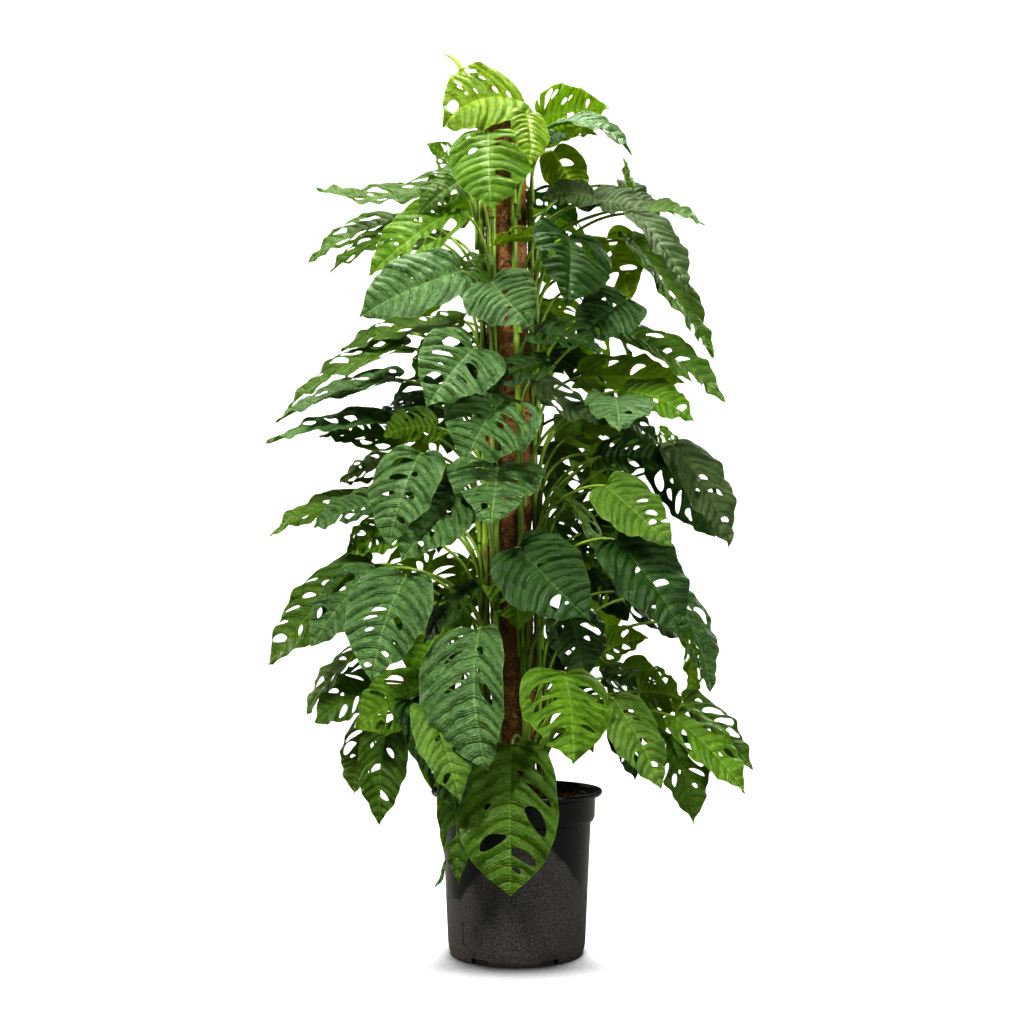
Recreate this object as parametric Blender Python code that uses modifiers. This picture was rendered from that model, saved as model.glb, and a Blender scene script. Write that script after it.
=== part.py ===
"""Monstera adansonii climbing a coir pole in a black nursery pot.

Metres, +Z up. The origin is on the floor, under the middle of the pot. The front of the plant faces -Y.
The plant is laid out as an observer two metres in front of it sees it: each leaf's ends are read on the
upright plane through the pot's axis, in centimetres, and then placed in depth along the line of sight.
"""

import math
from collections import namedtuple

import bmesh
import bpy
from mathutils import Vector
from mathutils.bvhtree import BVHTree
from mathutils.geometry import interpolate_bezier

CM = 0.01
GAP = 0.0003
OBSERVER = Vector((-0.0066, -2.0, 0.453))

# Pot: outer and inner profiles as (radius, height), and the notches and drain holes of its foot.
POT_STEPS = 44
POT_OUTER = (
    (0.1195, 0.2250),
    (0.1206, 0.2222),
    (0.1192, 0.2180),
    (0.1108, 0.2150),
    (0.1098, 0.1880),
    (0.1080, 0.1832),
    (0.1044, 0.1812),
    (0.1040, 0.1785),
    (0.0958, 0.0160),
    (0.0940, 0.0050),
    (0.0915, 0.0),
)
POT_UNDERSIDE = ((0.0840, 0.0), (0.0820, 0.0055), (0.0580, 0.0055), (0.0560, 0.0), (0.0, 0.0))
POT_FLOOR = 0.0100
POT_INNER = (
    (0.0, POT_FLOOR),
    (0.0905, POT_FLOOR),
    (0.0936, 0.0160),
    (0.1018, 0.1785),
    (0.1060, 0.1850),
    (0.1078, 0.1890),
    (0.1088, 0.2160),
    (0.1165, 0.2205),
    (0.1172, 0.2250),
)
NOTCHES = 6
NOTCH_TURN = math.radians(237.5)
NOTCH_SIZE = (0.024, 0.027, 0.0150)
NOTCH_RADIUS = 0.0920
DRAIN_HOLES = 6
DRAIN_RADIUS = 0.0050
DRAIN_CIRCLE = 0.0700

# Peat: its top is a little higher round the pole than at the wall of the pot.
SOIL_TOP = 0.2125
SOIL_EDGE = 0.2100
SOIL_FLAT = 0.060
SOIL_CLEARANCE = 0.0005

# Coir pole: a straight, slightly leaning pole whose wrap has come loose into a bulge at the top.
POLE_FOOT = Vector((0.0, 0.0, POT_FLOOR + 0.0004))
POLE_HEAD = Vector((-0.018, 0.0, 1.210))
POLE_RADIUS = 0.0310
POLE_BULGE = 0.0100
POLE_BULGE_HEIGHT = 1.186
POLE_BULGE_SPREAD = 0.020
POLE_STEPS = 24
POLE_LEVELS = (POLE_FOOT.z, 0.40, 0.80, 1.12, 1.145, 1.165, 1.178, 1.188, 1.198, 1.206)
POLE_BORE = (-0.02, 0.30)

# Climbing stems: heading round the pole at the foot and at the top (degrees, 270 is the front), top height.
Stem = namedtuple("Stem", "name heading heading_top top")
STEMS = (
    Stem("stem_front_left", 232, 240, 1.135),
    Stem("stem_front_right", 298, 288, 1.140),
    Stem("stem_left", 180, 188, 1.070),
    Stem("stem_right", 356, 350, 1.085),
    Stem("stem_back", 96, 86, 1.060),
)
STEM_RADIUS = 0.0055
STEM_RADIUS_TOP = 0.0042
STEM_STEP = 0.08

# The rolled new leaf, which goes on from the first stem: points as x, height and depth in centimetres, and
# its radius there.
SHOOT_RISE = 0.008
SHOOT = (
    ((-4.6, 118.0, -4.4), 0.0030),
    ((-7.0, 124.0, -5.6), 0.0034),
    ((-7.9, 126.6, -5.8), 0.0036),
    ((-9.2, 128.5, -5.9), 0.0024),
    ((-10.8, 129.4, -6.0), 0.0008),
)

# Petioles: each leaves its stem below its blade, lower the further out the blade hangs, rises along the stem
# and then bends over to the blade. The rise and the settling are shares of its reach.
PETIOLE_RADIUS = 0.0027
PETIOLE_RADIUS_END = 0.0019
PETIOLE_SEAT = 0.0002
PETIOLE_DROP = 0.06
PETIOLE_SLOPE = 0.45
PETIOLE_REACH = 80
PETIOLE_SHEATH = 0.015
PETIOLE_SHEATH_STATION = 0.1
PETIOLE_STATIONS = (0.45, 0.88)
PETIOLE_RISE = 0.5
PETIOLE_SETTLE = 0.3
PETIOLE_INTO_BLADE = 0.6
PETIOLE_CURVE_STEPS = 50
STEM_FOOT_CLEAR = 0.008
STEM_TOP_CLEAR = 0.020

# Blades.
BLADE_HALF_THICKNESS = 0.0012
BLADE_QUARTER_THICKNESS = 0.0007
BLADE_TIP_SHARE = 0.5
BLADE_CROWN = 0.05
# Each section of a blade: place of its middle and of its margin along the midrib, and its half width.
BLADE_SECTIONS = (
    (0.02, -0.06, 0.27),
    (0.10, 0.04, 0.44),
    (0.26, 0.28, 0.50),
    (0.52, 0.54, 0.44),
    (0.78, 0.785, 0.25),
    (1.0, 1.0, 0.008),
)
RING = 8

# How leaves find room: their clearances, and the pushes in depth (centimetres), the lifts of the petiole's
# seat along its stem (centimetres) and its swings round the stem (degrees) that are tried in turn.
BLADE_CLEARANCE = 0.0025
PETIOLE_CLEARANCE = 0.0010
PUSHES = (0, -1, 1, -2, 2, -3, 3, -4, 4, -5, 5, -6, 6, -7, 7, -8, 8)
STEMS_TRIED = 3
LIFTS = (0, -2, 2, -4, 4, -6, 6, -8, 8)
SWINGS = (0, 25, -25, 50, -50, 75, -75)

# A leaf: where its blade starts and ends as (x, height, depth) and its width, in centimetres; turn, which is
# 90 where the upper face looks at the observer, 0 where the blade is seen edge-on and -90 where the underside
# shows; the arch of its midrib, the fold of its halves in degrees and its sideways bend; its tone.
Leaf = namedtuple("Leaf", "name base tip width turn arch fold bend tone")
LEAVES = (
    Leaf("leaf_top_01", (1.2, 122.0, -3), (-10.9, 118.1, -7), 10.5, 60, 1.0, 8, 2.0, "young"),
    Leaf("leaf_top_02", (-4.1, 117.3, -9), (-3.7, 105.8, -12), 12.0, 80, 0.8, 8, 0, "bright"),
    Leaf("leaf_top_03", (1.6, 120.2, -3.5), (2.0, 112.4, -6), 6.0, 60, 0.5, 8, 0, "young"),
    Leaf("leaf_top_04", (4.2, 119.7, 0.5), (13.7, 121.1, 2.5), 9.6, -64, 0.8, 8, 0, "bright"),
    Leaf("leaf_top_05", (4.2, 117.9, -4), (17.0, 113.8, -6), 7.5, 14, 2.8, 10, 0, "sheen"),
    Leaf("leaf_top_07", (5.3, 114.6, -2), (9.4, 106.6, 0), 7.0, -68, 0.8, 8, 0, "young"),
    Leaf("leaf_right_02", (10.2, 107.0, -2), (18.4, 105.3, -5), 9.0, 28, 1.0, 8, 0, "dusty"),
    Leaf("leaf_right_06", (17.2, 105.2, -5), (24.7, 93.4, -8), 8.0, 28, 1.0, 14, 0, "dusty"),
    Leaf("leaf_right_07", (17.0, 101.2, -2), (28.5, 83.5, -4), 10.0, 25, 0.8, 12, 0, "mid"),
    Leaf("leaf_right_08", (13.0, 101.6, -2), (16.6, 92.4, -1), 9.2, -75, 0.8, 8, 0, "young"),
    Leaf("leaf_right_09", (7.6, 101.8, -11), (7.1, 91.6, -17), 12.5, 62, 1.0, 8, 0, "deep"),
    Leaf("leaf_left_01", (-10.3, 110.8, -1), (-29.6, 109.3, -3), 9.0, 16, -2.3, 12, 0, "mid"),
    Leaf("leaf_left_04", (-9.0, 106.0, -7), (-21.5, 96.1, -9), 8.5, 55, 0.8, 10, 0, "bright"),
    Leaf("leaf_left_05", (-17.0, 104.3, 2), (-30.5, 97.8, 3), 8.0, 20, 1.2, 10, 0, "mid"),
    Leaf("leaf_left_08", (-8.0, 96.8, -10), (-22.8, 90.0, -12), 9.5, 58, 1.0, 10, 0, "sheen"),
    Leaf("leaf_left_11", (-16.6, 85.6, -6), (-33.2, 76.6, -7), 9.0, 22, 1.4, 12, 0, "mid"),
    Leaf("leaf_left_12", (-17.6, 80.9, 0), (-34.9, 74.5, -1), 8.5, 20, 1.0, 12, 0, "sheen"),
    Leaf("leaf_front_03", (-6.2, 85.4, -14), (-13.0, 76.8, -18), 12.0, 72, 0.8, 8, 0, "sheen"),
    Leaf("leaf_front_04", (-3.7, 95.2, -11), (2.4, 88.2, -15), 10.5, 66, 0.8, 10, 0.4, "sheen"),
    Leaf("leaf_right_11", (16.0, 92.6, -9), (8.9, 86.3, -12), 9.5, 60, 0.8, 8, 0, "dusk"),
    Leaf("leaf_right_13", (15.3, 87.9, -5), (30.2, 77.5, -7), 9.0, 24, 1.0, 14, 0, "mid"),
    Leaf("leaf_right_14", (9.3, 81.3, 2), (24.4, 80.2, 4), 10.5, -34, 0.8, 8, 0, "olive"),
    Leaf("leaf_right_15", (15.3, 79.2, -7), (25.5, 74.7, -9), 7.5, 38, 1.2, 10, 0, "bright"),
    Leaf("leaf_right_16", (14.3, 78.2, -12), (14.8, 73.3, -21), 9.5, 80, 0.6, 8, 0, "sheen"),
    Leaf("leaf_front_06", (-1.4, 78.3, -14), (-7.4, 68.3, -18), 13.0, 72, 0.8, 8, 0.5, "sheen"),
    Leaf("leaf_front_09", (-2.6, 68.0, -11), (-3.7, 59.3, -21), 13.5, 85, 1.0, 8, 0, "sheen"),
    Leaf("leaf_front_10", (0.3, 56.5, -16), (10.6, 46.0, -21), 12.0, 66, 1.0, 10, 0.6, "dusk"),
    Leaf("leaf_front_11", (-5.3, 44.8, -17), (-4.0, 24.9, -21), 11.5, 75, 1.6, 6, 0.8, "sheen"),
    Leaf("leaf_low_01", (-0.7, 28.6, -15.5), (-0.8, 7.5, -19), 13.5, 80, 1.2, 8, 0, "mid"),
    Leaf("leaf_low_02", (6.9, 38.6, -16), (8.0, 25.9, -21), 13.0, 68, 1.0, -12, 0, "bright"),
    Leaf("leaf_left_13", (-15.8, 52.5, -15), (-20.5, 37.3, -18), 11.5, 66, 1.0, 8, 0.4, "sheen"),
    Leaf("leaf_left_14", (-20.5, 54.0, -4), (-35.3, 39.8, -6), 10.5, 52, 1.2, 10, 0.5, "mid"),
    Leaf("leaf_low_03", (-15.0, 34.8, -15), (-8.4, 18.3, -19.5), 8.5, 60, 1.0, 8, -0.6, "deep"),
    Leaf("leaf_low_04", (-18.3, 31.5, -4), (-19.2, 17.4, -5), 8.0, 60, 1.0, 8, 0, "mid"),
    Leaf("leaf_left_20", (-7.2, 64.6, -14), (-16.6, 54.4, -17), 10.5, 60, 1.0, 8, 0, "sheen"),
    Leaf("leaf_left_21", (-14.0, 69.9, -14), (-18.4, 56.5, -17), 10.0, 62, 1.0, 8, 0, "sheen"),
    Leaf("leaf_left_22", (-20.0, 63.9, 1), (-35.6, 58.0, 0), 8.5, 20, 1.2, 12, 0, "olive"),
    Leaf("leaf_left_27", (-17.8, 74.6, -3), (-36.3, 71.3, -4), 9.0, 20, 1.2, 12, 0, "sheen"),
    Leaf("leaf_right_20", (22.6, 71.2, -6), (30.4, 56.6, -8), 9.5, 40, 1.4, 10, 0, "dusty"),
    Leaf("leaf_right_22", (12.8, 65.4, -14), (22.3, 56.6, -17), 9.0, 54, 1.0, 8, 0.6, "pale"),
    Leaf("leaf_right_25", (14.3, 57.6, -14), (24.0, 43.8, -16), 11.0, 56, 1.0, 10, 0, "dusk"),
    Leaf("leaf_right_29", (23.6, 34.4, -2), (33.4, 25.1, -4), 8.5, 40, 0.6, 10, 0, "mid"),
    Leaf("leaf_right_32", (13.8, 35.0, -14), (20.4, 22.4, -17), 8.0, 58, 0.8, 8, 0, "pale"),
    Leaf("leaf_back_02", (6.0, 105.0, 12), (4.0, 95.0, 21), 11.0, -60, 1.0, 8, 0, "mid"),
    Leaf("leaf_back_04", (2.0, 91.0, 14), (5.0, 81.0, 24), 11.5, -62, 1.0, 8, 0, "mid"),
    Leaf("leaf_back_05", (-6.0, 82.0, 13), (-10.0, 70.0, 22), 12.0, -60, 1.0, 8, 0, "deep"),
    Leaf("leaf_back_07", (-1.0, 66.0, 16), (-2.0, 54.0, 26), 12.5, -62, 1.0, 8, 0, "mid"),
    Leaf("leaf_back_08", (9.0, 55.0, 15), (13.0, 43.0, 24), 12.0, -60, 1.0, 8, 0, "bright"),
    Leaf("leaf_back_09", (-10.0, 50.0, 14), (-15.0, 38.0, 23), 11.5, -60, 1.0, 8, 0, "mid"),
    Leaf("leaf_back_10", (1.0, 42.0, 17), (0.0, 29.0, 26), 12.5, -62, 1.0, 8, 0, "deep"),
    Leaf("leaf_back_12", (-8.0, 33.0, 14), (-10.0, 20.0, 20), 10.5, -60, 1.0, 8, 0, "bright"),
)

# Colour and roughness of each finish, as linear RGB.
FINISHES = {
    "pot_plastic": ((0.012, 0.015, 0.014), 0.38),
    "peat": ((0.050, 0.026, 0.014), 0.95),
    "coir": ((0.150, 0.062, 0.030), 0.92),
    "stem_green": ((0.115, 0.190, 0.035), 0.45),
    "leaf_young": ((0.230, 0.420, 0.035), 0.40),
    "leaf_bright": ((0.085, 0.260, 0.030), 0.38),
    "leaf_mid": ((0.060, 0.160, 0.028), 0.40),
    "leaf_deep": ((0.022, 0.075, 0.016), 0.40),
    "leaf_sheen": ((0.085, 0.190, 0.075), 0.34),
    "leaf_dusk": ((0.035, 0.095, 0.035), 0.36),
    "leaf_dusty": ((0.105, 0.150, 0.080), 0.48),
    "leaf_olive": ((0.110, 0.190, 0.025), 0.42),
    "leaf_pale": ((0.150, 0.280, 0.090), 0.38),
}


def finish(name):
    """Return the material with this name, made on first use."""
    material = bpy.data.materials.get(name)
    if material is None:
        colour, roughness = FINISHES[name]
        material = bpy.data.materials.new(name)
        material.use_nodes = True
        shader = material.node_tree.nodes["Principled BSDF"]
        shader.inputs["Base Color"].default_value = (*colour, 1.0)
        shader.inputs["Roughness"].default_value = roughness
        shader.inputs["Metallic"].default_value = 0.0
    return material


def lerp(start, end, share):
    return start + (end - start) * share


def seen(x, height, depth):
    """Point at a depth, on the line of sight through (x, height) of the upright plane; all in centimetres."""
    on_plane = Vector((x * CM, 0.0, height * CM))
    return OBSERVER + (on_plane - OBSERVER) * ((depth * CM - OBSERVER.y) / -OBSERVER.y)


def pole_middle(z):
    return POLE_FOOT.lerp(POLE_HEAD, (z - POLE_FOOT.z) / (POLE_HEAD.z - POLE_FOOT.z))


def pole_radius(z):
    return POLE_RADIUS + POLE_BULGE * math.exp(-(((z - POLE_BULGE_HEIGHT) / POLE_BULGE_SPREAD) ** 2))


def stem_points(stem):
    """Points of the stem from the peat upwards, each with the stem's radius there."""
    foot = SOIL_TOP + GAP
    count = math.ceil((stem.top - foot) / STEM_STEP)
    points = []
    for i in range(count + 1):
        z = lerp(foot, stem.top, i / count)
        heading = math.radians(lerp(stem.heading, stem.heading_top, i / count))
        radius = lerp(STEM_RADIUS, STEM_RADIUS_TOP, i / count)
        away = pole_radius(z) + radius + GAP
        points.append((pole_middle(z) + Vector((math.cos(heading), math.sin(heading), 0.0)) * away, radius))
    return points


def stem_at(points, z):
    """Middle, direction and radius of a stem at a height."""
    for (low, radius_low), (high, radius_high) in zip(points, points[1:]):
        if z <= high.z:
            break
    share = (z - low.z) / (high.z - low.z)
    return low.lerp(high, share), (high - low).normalized(), lerp(radius_low, radius_high, share)


class Blade:
    """Place and shape of a blade, pushed away from the observer by some centimetres."""

    def __init__(self, leaf, push):
        x, z, depth = leaf.base
        self.leaf = leaf
        self.base = seen(x, z, depth + push)
        x, z, depth = leaf.tip
        self.tip = seen(x, z, depth + push)
        self.length = (self.tip - self.base).length
        self.width = leaf.width * CM
        self.axis = (self.tip - self.base).normalized()
        to_observer = (OBSERVER - self.base).normalized()
        facing = (to_observer - self.axis * to_observer.dot(self.axis)).normalized()
        edge = self.axis.cross(facing)
        outward = Vector((self.base.x, self.base.y, 0.0)).normalized()
        if 2.0 * edge.z + edge.dot(outward) < 0.0:
            edge = -edge
        turn = math.radians(leaf.turn)
        self.normal = facing * math.sin(turn) + edge * math.cos(turn)
        self.side = self.axis.cross(self.normal)
        self.fold = math.radians(leaf.fold)

    def point(self, along, across):
        """Point of the blade's middle surface: shares of its length and of its width."""
        bow = 4.0 * along * (1.0 - along)
        out = abs(across) * self.width
        crown = BLADE_CROWN * self.width * (2.0 * across) ** 2
        lift = self.leaf.arch * CM * bow + out * math.sin(self.fold) - crown
        shift = across * self.width * math.cos(self.fold) + self.leaf.bend * CM * bow
        return self.base + self.axis * (along * self.length) + self.normal * lift + self.side * shift

    def sections(self, pad):
        """Rings of eight points: left margin, three above, right margin, three below."""
        rings = []
        for middle, margin, half in BLADE_SECTIONS:
            half += pad / self.width
            above = []
            below = []
            for share in (-0.5, 0.0, 0.5):
                rise = (BLADE_QUARTER_THICKNESS if share else BLADE_HALF_THICKNESS) + pad
                if middle == 1.0:
                    rise *= BLADE_TIP_SHARE
                place = self.point(lerp(middle, margin, abs(share)), share * half)
                above.append(place + self.normal * rise)
                below.append(place - self.normal * rise)
            left = self.point(margin, -half)
            right = self.point(margin, half)
            rings.append([left, *above, right, *reversed(below)])
        return rings


def round_ring(middle, side, top, radius):
    """Eight points round a tube, in the order of a blade's section."""
    turns = [math.pi - i * math.tau / RING for i in range(RING)]
    return [middle + side * (math.cos(a) * radius) + top * (math.sin(a) * radius) for a in turns]


def petiole_sections(blade, start, up, pad):
    """Rings of a petiole from its seat on the stem to the joint of the blade; pad widens all but its seat."""
    sheath = start + up * PETIOLE_SHEATH
    reach = (blade.base - sheath).length
    rise = sheath + up * (PETIOLE_RISE * reach)
    into = ((blade.base - rise).normalized() + blade.axis * PETIOLE_INTO_BLADE).normalized()
    settle = blade.base - into * (PETIOLE_SETTLE * reach)
    count = PETIOLE_CURVE_STEPS
    curve = interpolate_bezier(sheath, rise, settle, blade.base, count + 1)
    stations = [(start, up, 0.0), (sheath, up, PETIOLE_SHEATH_STATION)]
    for share in PETIOLE_STATIONS:
        i = round(share * count)
        stations.append((curve[i], (curve[i + 1] - curve[i - 1]).normalized(), share))
    joint = (curve[count] - curve[count - 1]).normalized()
    stations.append((blade.base, (joint + blade.axis).normalized(), 1.0))
    rings = []
    tangent = blade.axis
    side, top = blade.side, blade.normal
    for middle, direction, share in reversed(stations):
        turn = tangent.rotation_difference(direction)
        side, top, tangent = turn @ side, turn @ top, direction
        radius = lerp(PETIOLE_RADIUS, PETIOLE_RADIUS_END, share)
        rings.append(round_ring(middle, side, top, radius + (pad if share > PETIOLE_SHEATH_STATION else 0.0)))
    rings.reverse()
    return rings


def loft(rings):
    """Vertices and faces of the closed solid through the rings."""
    size = len(rings[0])
    verts = [p for ring in rings for p in ring]
    faces = []
    for i in range(len(rings) - 1):
        for j in range(size):
            k = (j + 1) % size
            faces.append((i * size + j, i * size + k, (i + 1) * size + k, (i + 1) * size + j))
    faces.append(tuple(range(size)))
    faces.append(tuple(reversed(range(len(verts) - size, len(verts)))))
    return verts, faces


def turned(profile, steps):
    """Vertices and faces of the surface that a profile of (radius, height) sweeps round the Z axis."""
    rings = []
    for radius, z in profile:
        angles = [math.tau * i / steps for i in range(steps)]
        rings.append([Vector((radius * math.cos(a), radius * math.sin(a), z)) for a in angles])
    return loft(rings)


class Obstacle:
    """A solid that is already in its place."""

    def __init__(self, verts, faces):
        self.tree = BVHTree.FromPolygons(verts, faces)
        self.low = [min(v[i] for v in verts) for i in range(3)]
        self.high = [max(v[i] for v in verts) for i in range(3)]

    def meets(self, other):
        apart = any(self.low[i] > other.high[i] or other.low[i] > self.high[i] for i in range(3))
        return not apart and bool(self.tree.overlap(other.tree))


def pot_obstacles():
    """The outside of the pot and the peat in it, for leaves to stay clear of."""
    peat = ((POT_INNER[5][0], SOIL_TOP), (POT_INNER[5][0], POT_INNER[5][1]))
    return [Obstacle(*turned(POT_OUTER, POT_STEPS)), Obstacle(*turned(peat, POT_STEPS))]


def tube_obstacle(points):
    """A round tube through points with their own radii, for leaves to stay clear of."""
    rings = []
    for i, (place, radius) in enumerate(points):
        before = points[max(i - 1, 0)][0]
        after = points[min(i + 1, len(points) - 1)][0]
        along = (after - before).normalized()
        side = along.cross(Vector((0.0, 1.0, 0.0))).normalized()
        rings.append(round_ring(place, side, along.cross(side), radius))
    return Obstacle(*loft(rings))


def petiole_seats(blade, stems):
    """Seats for a petiole on the stems, the nearest stem and the plain height first."""
    base = blade.base
    away = math.hypot(base.x, base.y)
    height = base.z - PETIOLE_DROP - PETIOLE_SLOPE * away
    near = sorted(stems, key=lambda points: (stem_at(points, min(base.z, points[-1][0].z))[0] - base).length)
    for points in near[:STEMS_TRIED]:
        for lift in LIFTS:
            z = max(height + lift * CM, points[0][0].z + STEM_FOOT_CLEAR)
            z = min(z, points[-1][0].z - STEM_TOP_CLEAR)
            middle, up, radius = stem_at(points, z)
            outward = middle - pole_middle(z)
            toward = base - middle
            plain = math.atan2(outward.y, outward.x)
            turn = math.degrees(math.remainder(math.atan2(toward.y, toward.x) - plain, math.tau))
            for swing in SWINGS:
                limited = min(max(turn + swing, -PETIOLE_REACH), PETIOLE_REACH)
                heading = plain + math.radians(limited)
                off = radius + PETIOLE_RADIUS + PETIOLE_SEAT
                yield middle + Vector((math.cos(heading), math.sin(heading), 0.0)) * off, up


def settle_leaf(leaf, stems, fixed, placed):
    """First push of the leaf and seat of its petiole that keep it clear of everything that is in place."""
    for push in PUSHES:
        blade = Blade(leaf, push)
        padded = Obstacle(*loft(blade.sections(BLADE_CLEARANCE)))
        if any(padded.meets(other) for other in fixed + placed):
            continue
        for start, up in petiole_seats(blade, stems):
            plain = Obstacle(*loft(petiole_sections(blade, start, up, 0.0)))
            if any(plain.meets(other) for other in fixed):
                continue
            padded = Obstacle(*loft(petiole_sections(blade, start, up, PETIOLE_CLEARANCE)))
            if not any(padded.meets(other) for other in placed):
                return blade, start, up
    raise RuntimeError(f"{leaf.name} finds no clear place")


def smooth(obj, degrees=40):
    obj.data.shade_smooth()
    obj.data.set_sharp_from_angle(angle=math.radians(degrees))


def solid_mesh(name, verts, faces):
    """Mesh of a closed solid, with its faces pointing out."""
    mesh = bpy.data.meshes.new(name)
    mesh.from_pydata(verts, [], faces)
    edit = bmesh.new()
    edit.from_mesh(mesh)
    bmesh.ops.recalc_face_normals(edit, faces=edit.faces)
    edit.to_mesh(mesh)
    edit.free()
    return mesh


def add_mesh(name, verts, faces, material, collection):
    mesh = solid_mesh(name, verts, faces)
    mesh.materials.append(finish(material))
    obj = bpy.data.objects.new(name, mesh)
    collection.objects.link(obj)
    return obj


def add_turned(name, profile, steps, material, collection):
    """A profile of (radius, height) turned by a Screw modifier; it runs down its outer side."""
    mesh = bpy.data.meshes.new(name)
    verts = [(radius, 0.0, z) for radius, z in profile]
    mesh.from_pydata(verts, [(i, i + 1) for i in range(len(verts) - 1)], [])
    mesh.materials.append(finish(material))
    obj = bpy.data.objects.new(name, mesh)
    collection.objects.link(obj)
    screw = obj.modifiers.new("Screw", "SCREW")
    screw.steps = steps
    screw.render_steps = steps
    screw.use_merge_vertices = True
    screw.merge_threshold = 0.00001
    return obj


def add_tube(name, points, material, collection):
    """A round tube through points with their own radii."""
    curve = bpy.data.curves.new(name, "CURVE")
    curve.dimensions = "3D"
    curve.bevel_depth = 1.0
    curve.bevel_resolution = 2
    curve.use_fill_caps = True
    spline = curve.splines.new("POLY")
    spline.points.add(len(points) - 1)
    for target, (place, radius) in zip(spline.points, points):
        target.co = (*place, 1.0)
        target.radius = radius
    curve.materials.append(finish(material))
    obj = bpy.data.objects.new(name, curve)
    collection.objects.link(obj)
    return obj


def cut(obj, cutter):
    modifier = obj.modifiers.new(cutter.name, "BOOLEAN")
    modifier.operation = "DIFFERENCE"
    modifier.solver = "EXACT"
    modifier.object = cutter


def as_cutter(mesh, name, collection):
    obj = bpy.data.objects.new(name, mesh)
    obj.hide_render = True
    obj.display_type = "WIRE"
    collection.objects.link(obj)
    return obj


def make_pot(parts, cutters):
    """Moulded pot: rolled lip, collar, tapered wall, and a foot ring with notches and drain holes."""
    pot = add_turned("pot", (*POT_INNER, *POT_OUTER, *POT_UNDERSIDE), POT_STEPS, "pot_plastic", parts)
    edit = bmesh.new()
    for i in range(NOTCHES):
        heading = NOTCH_TURN + math.tau * i / NOTCHES
        box = bmesh.ops.create_cube(edit, size=1.0)["verts"]
        for vert in box:
            depth, width, height = (vert.co[k] * NOTCH_SIZE[k] for k in range(3))
            along = NOTCH_RADIUS + depth
            vert.co = (
                along * math.cos(heading) - width * math.sin(heading),
                along * math.sin(heading) + width * math.cos(heading),
                height,
            )
    mesh = bpy.data.meshes.new("foot_notches")
    edit.to_mesh(mesh)
    edit.free()
    cut(pot, as_cutter(mesh, "foot_notches", cutters))
    edit = bmesh.new()
    for i in range(DRAIN_HOLES):
        heading = NOTCH_TURN + math.tau * (i + 0.5) / DRAIN_HOLES
        hole = bmesh.ops.create_cone(
            edit, cap_ends=True, segments=12, radius1=DRAIN_RADIUS, radius2=DRAIN_RADIUS, depth=4 * POT_FLOOR
        )["verts"]
        place = Vector((DRAIN_CIRCLE * math.cos(heading), DRAIN_CIRCLE * math.sin(heading), 0.0))
        bmesh.ops.translate(edit, verts=hole, vec=place)
    mesh = bpy.data.meshes.new("drain_holes")
    edit.to_mesh(mesh)
    edit.free()
    cut(pot, as_cutter(mesh, "drain_holes", cutters))
    return pot


def pole_rings(extra, levels):
    """Rings of the pole, wider than it by extra."""
    rings = []
    for z in levels:
        angles = [math.tau * i / POLE_STEPS for i in range(POLE_STEPS)]
        reach = pole_radius(z) + extra
        rings.append([pole_middle(z) + Vector((math.cos(a), math.sin(a), 0.0)) * reach for a in angles])
    return rings


def make_soil(parts, cutters):
    """Peat that fills the pot to just below its rim, bored for the pole."""
    walls = [(radius - SOIL_CLEARANCE, z) for radius, z in POT_INNER[1:6]]
    low, high = POT_INNER[5], POT_INNER[6]
    edge = lerp(low[0], high[0], (SOIL_EDGE - low[1]) / (high[1] - low[1])) - SOIL_CLEARANCE
    floor = POT_FLOOR + GAP
    walls[0] = (walls[0][0], floor)
    profile = [(0.0, SOIL_TOP), (SOIL_FLAT, SOIL_TOP), (edge, SOIL_EDGE), *reversed(walls), (0.0, floor)]
    soil = add_turned("peat", profile, POT_STEPS, "peat", parts)
    bore = solid_mesh("pole_bore", *loft(pole_rings(GAP, POLE_BORE)))
    cut(soil, as_cutter(bore, "pole_bore", cutters))
    return soil


def main():
    for obj in list(bpy.data.objects):
        bpy.data.objects.remove(obj, do_unlink=True)
    parts = bpy.data.collections.new("monstera_adansonii")
    cutters = bpy.data.collections.new("cutters")
    bpy.context.scene.collection.children.link(parts)
    bpy.context.scene.collection.children.link(cutters)

    smooth_parts = [make_pot(parts, cutters), make_soil(parts, cutters)]
    verts, faces = loft(pole_rings(0.0, POLE_LEVELS))
    smooth_parts.append(add_mesh("coir_pole", verts, faces, "coir", parts))
    stems = [stem_points(stem) for stem in STEMS]
    for stem, points in zip(STEMS, stems):
        add_tube(stem.name, points, "stem_green", parts)
    top, up, radius = stem_at(stems[0], STEMS[0].top)
    shoot = [(top + up * GAP, radius), (top + up * SHOOT_RISE, radius)]
    shoot += [(seen(*place), radius) for place, radius in SHOOT]
    add_tube("shoot", shoot, "leaf_young", parts)

    fixed = [Obstacle(verts, faces), *pot_obstacles(), *(tube_obstacle(points) for points in [*stems, shoot])]
    placed = []
    for leaf in LEAVES:
        blade, start, up = settle_leaf(leaf, stems, fixed, placed)
        verts, faces = loft(petiole_sections(blade, start, up, 0.0) + blade.sections(0.0))
        placed.append(Obstacle(verts, faces))
        smooth_parts.append(add_mesh(leaf.name, verts, faces, f"leaf_{leaf.tone}", parts))
    for obj in smooth_parts:
        smooth(obj)


main()
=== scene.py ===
"""Looks of a Monstera adansonii that climbs a coir pole in a black nursery pot.

Metres, +Z up; the front of the plant faces -Y. Every leaf is laid out by the same rows and rules as its solid
in the frame, and is then drawn as a thin blade with its real margin, holes, quilting and petiole. Leaves that
the frame doesn't hold, because they are small or lie behind others, are laid out the same way.
"""

import math
import random
from collections import namedtuple

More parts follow.
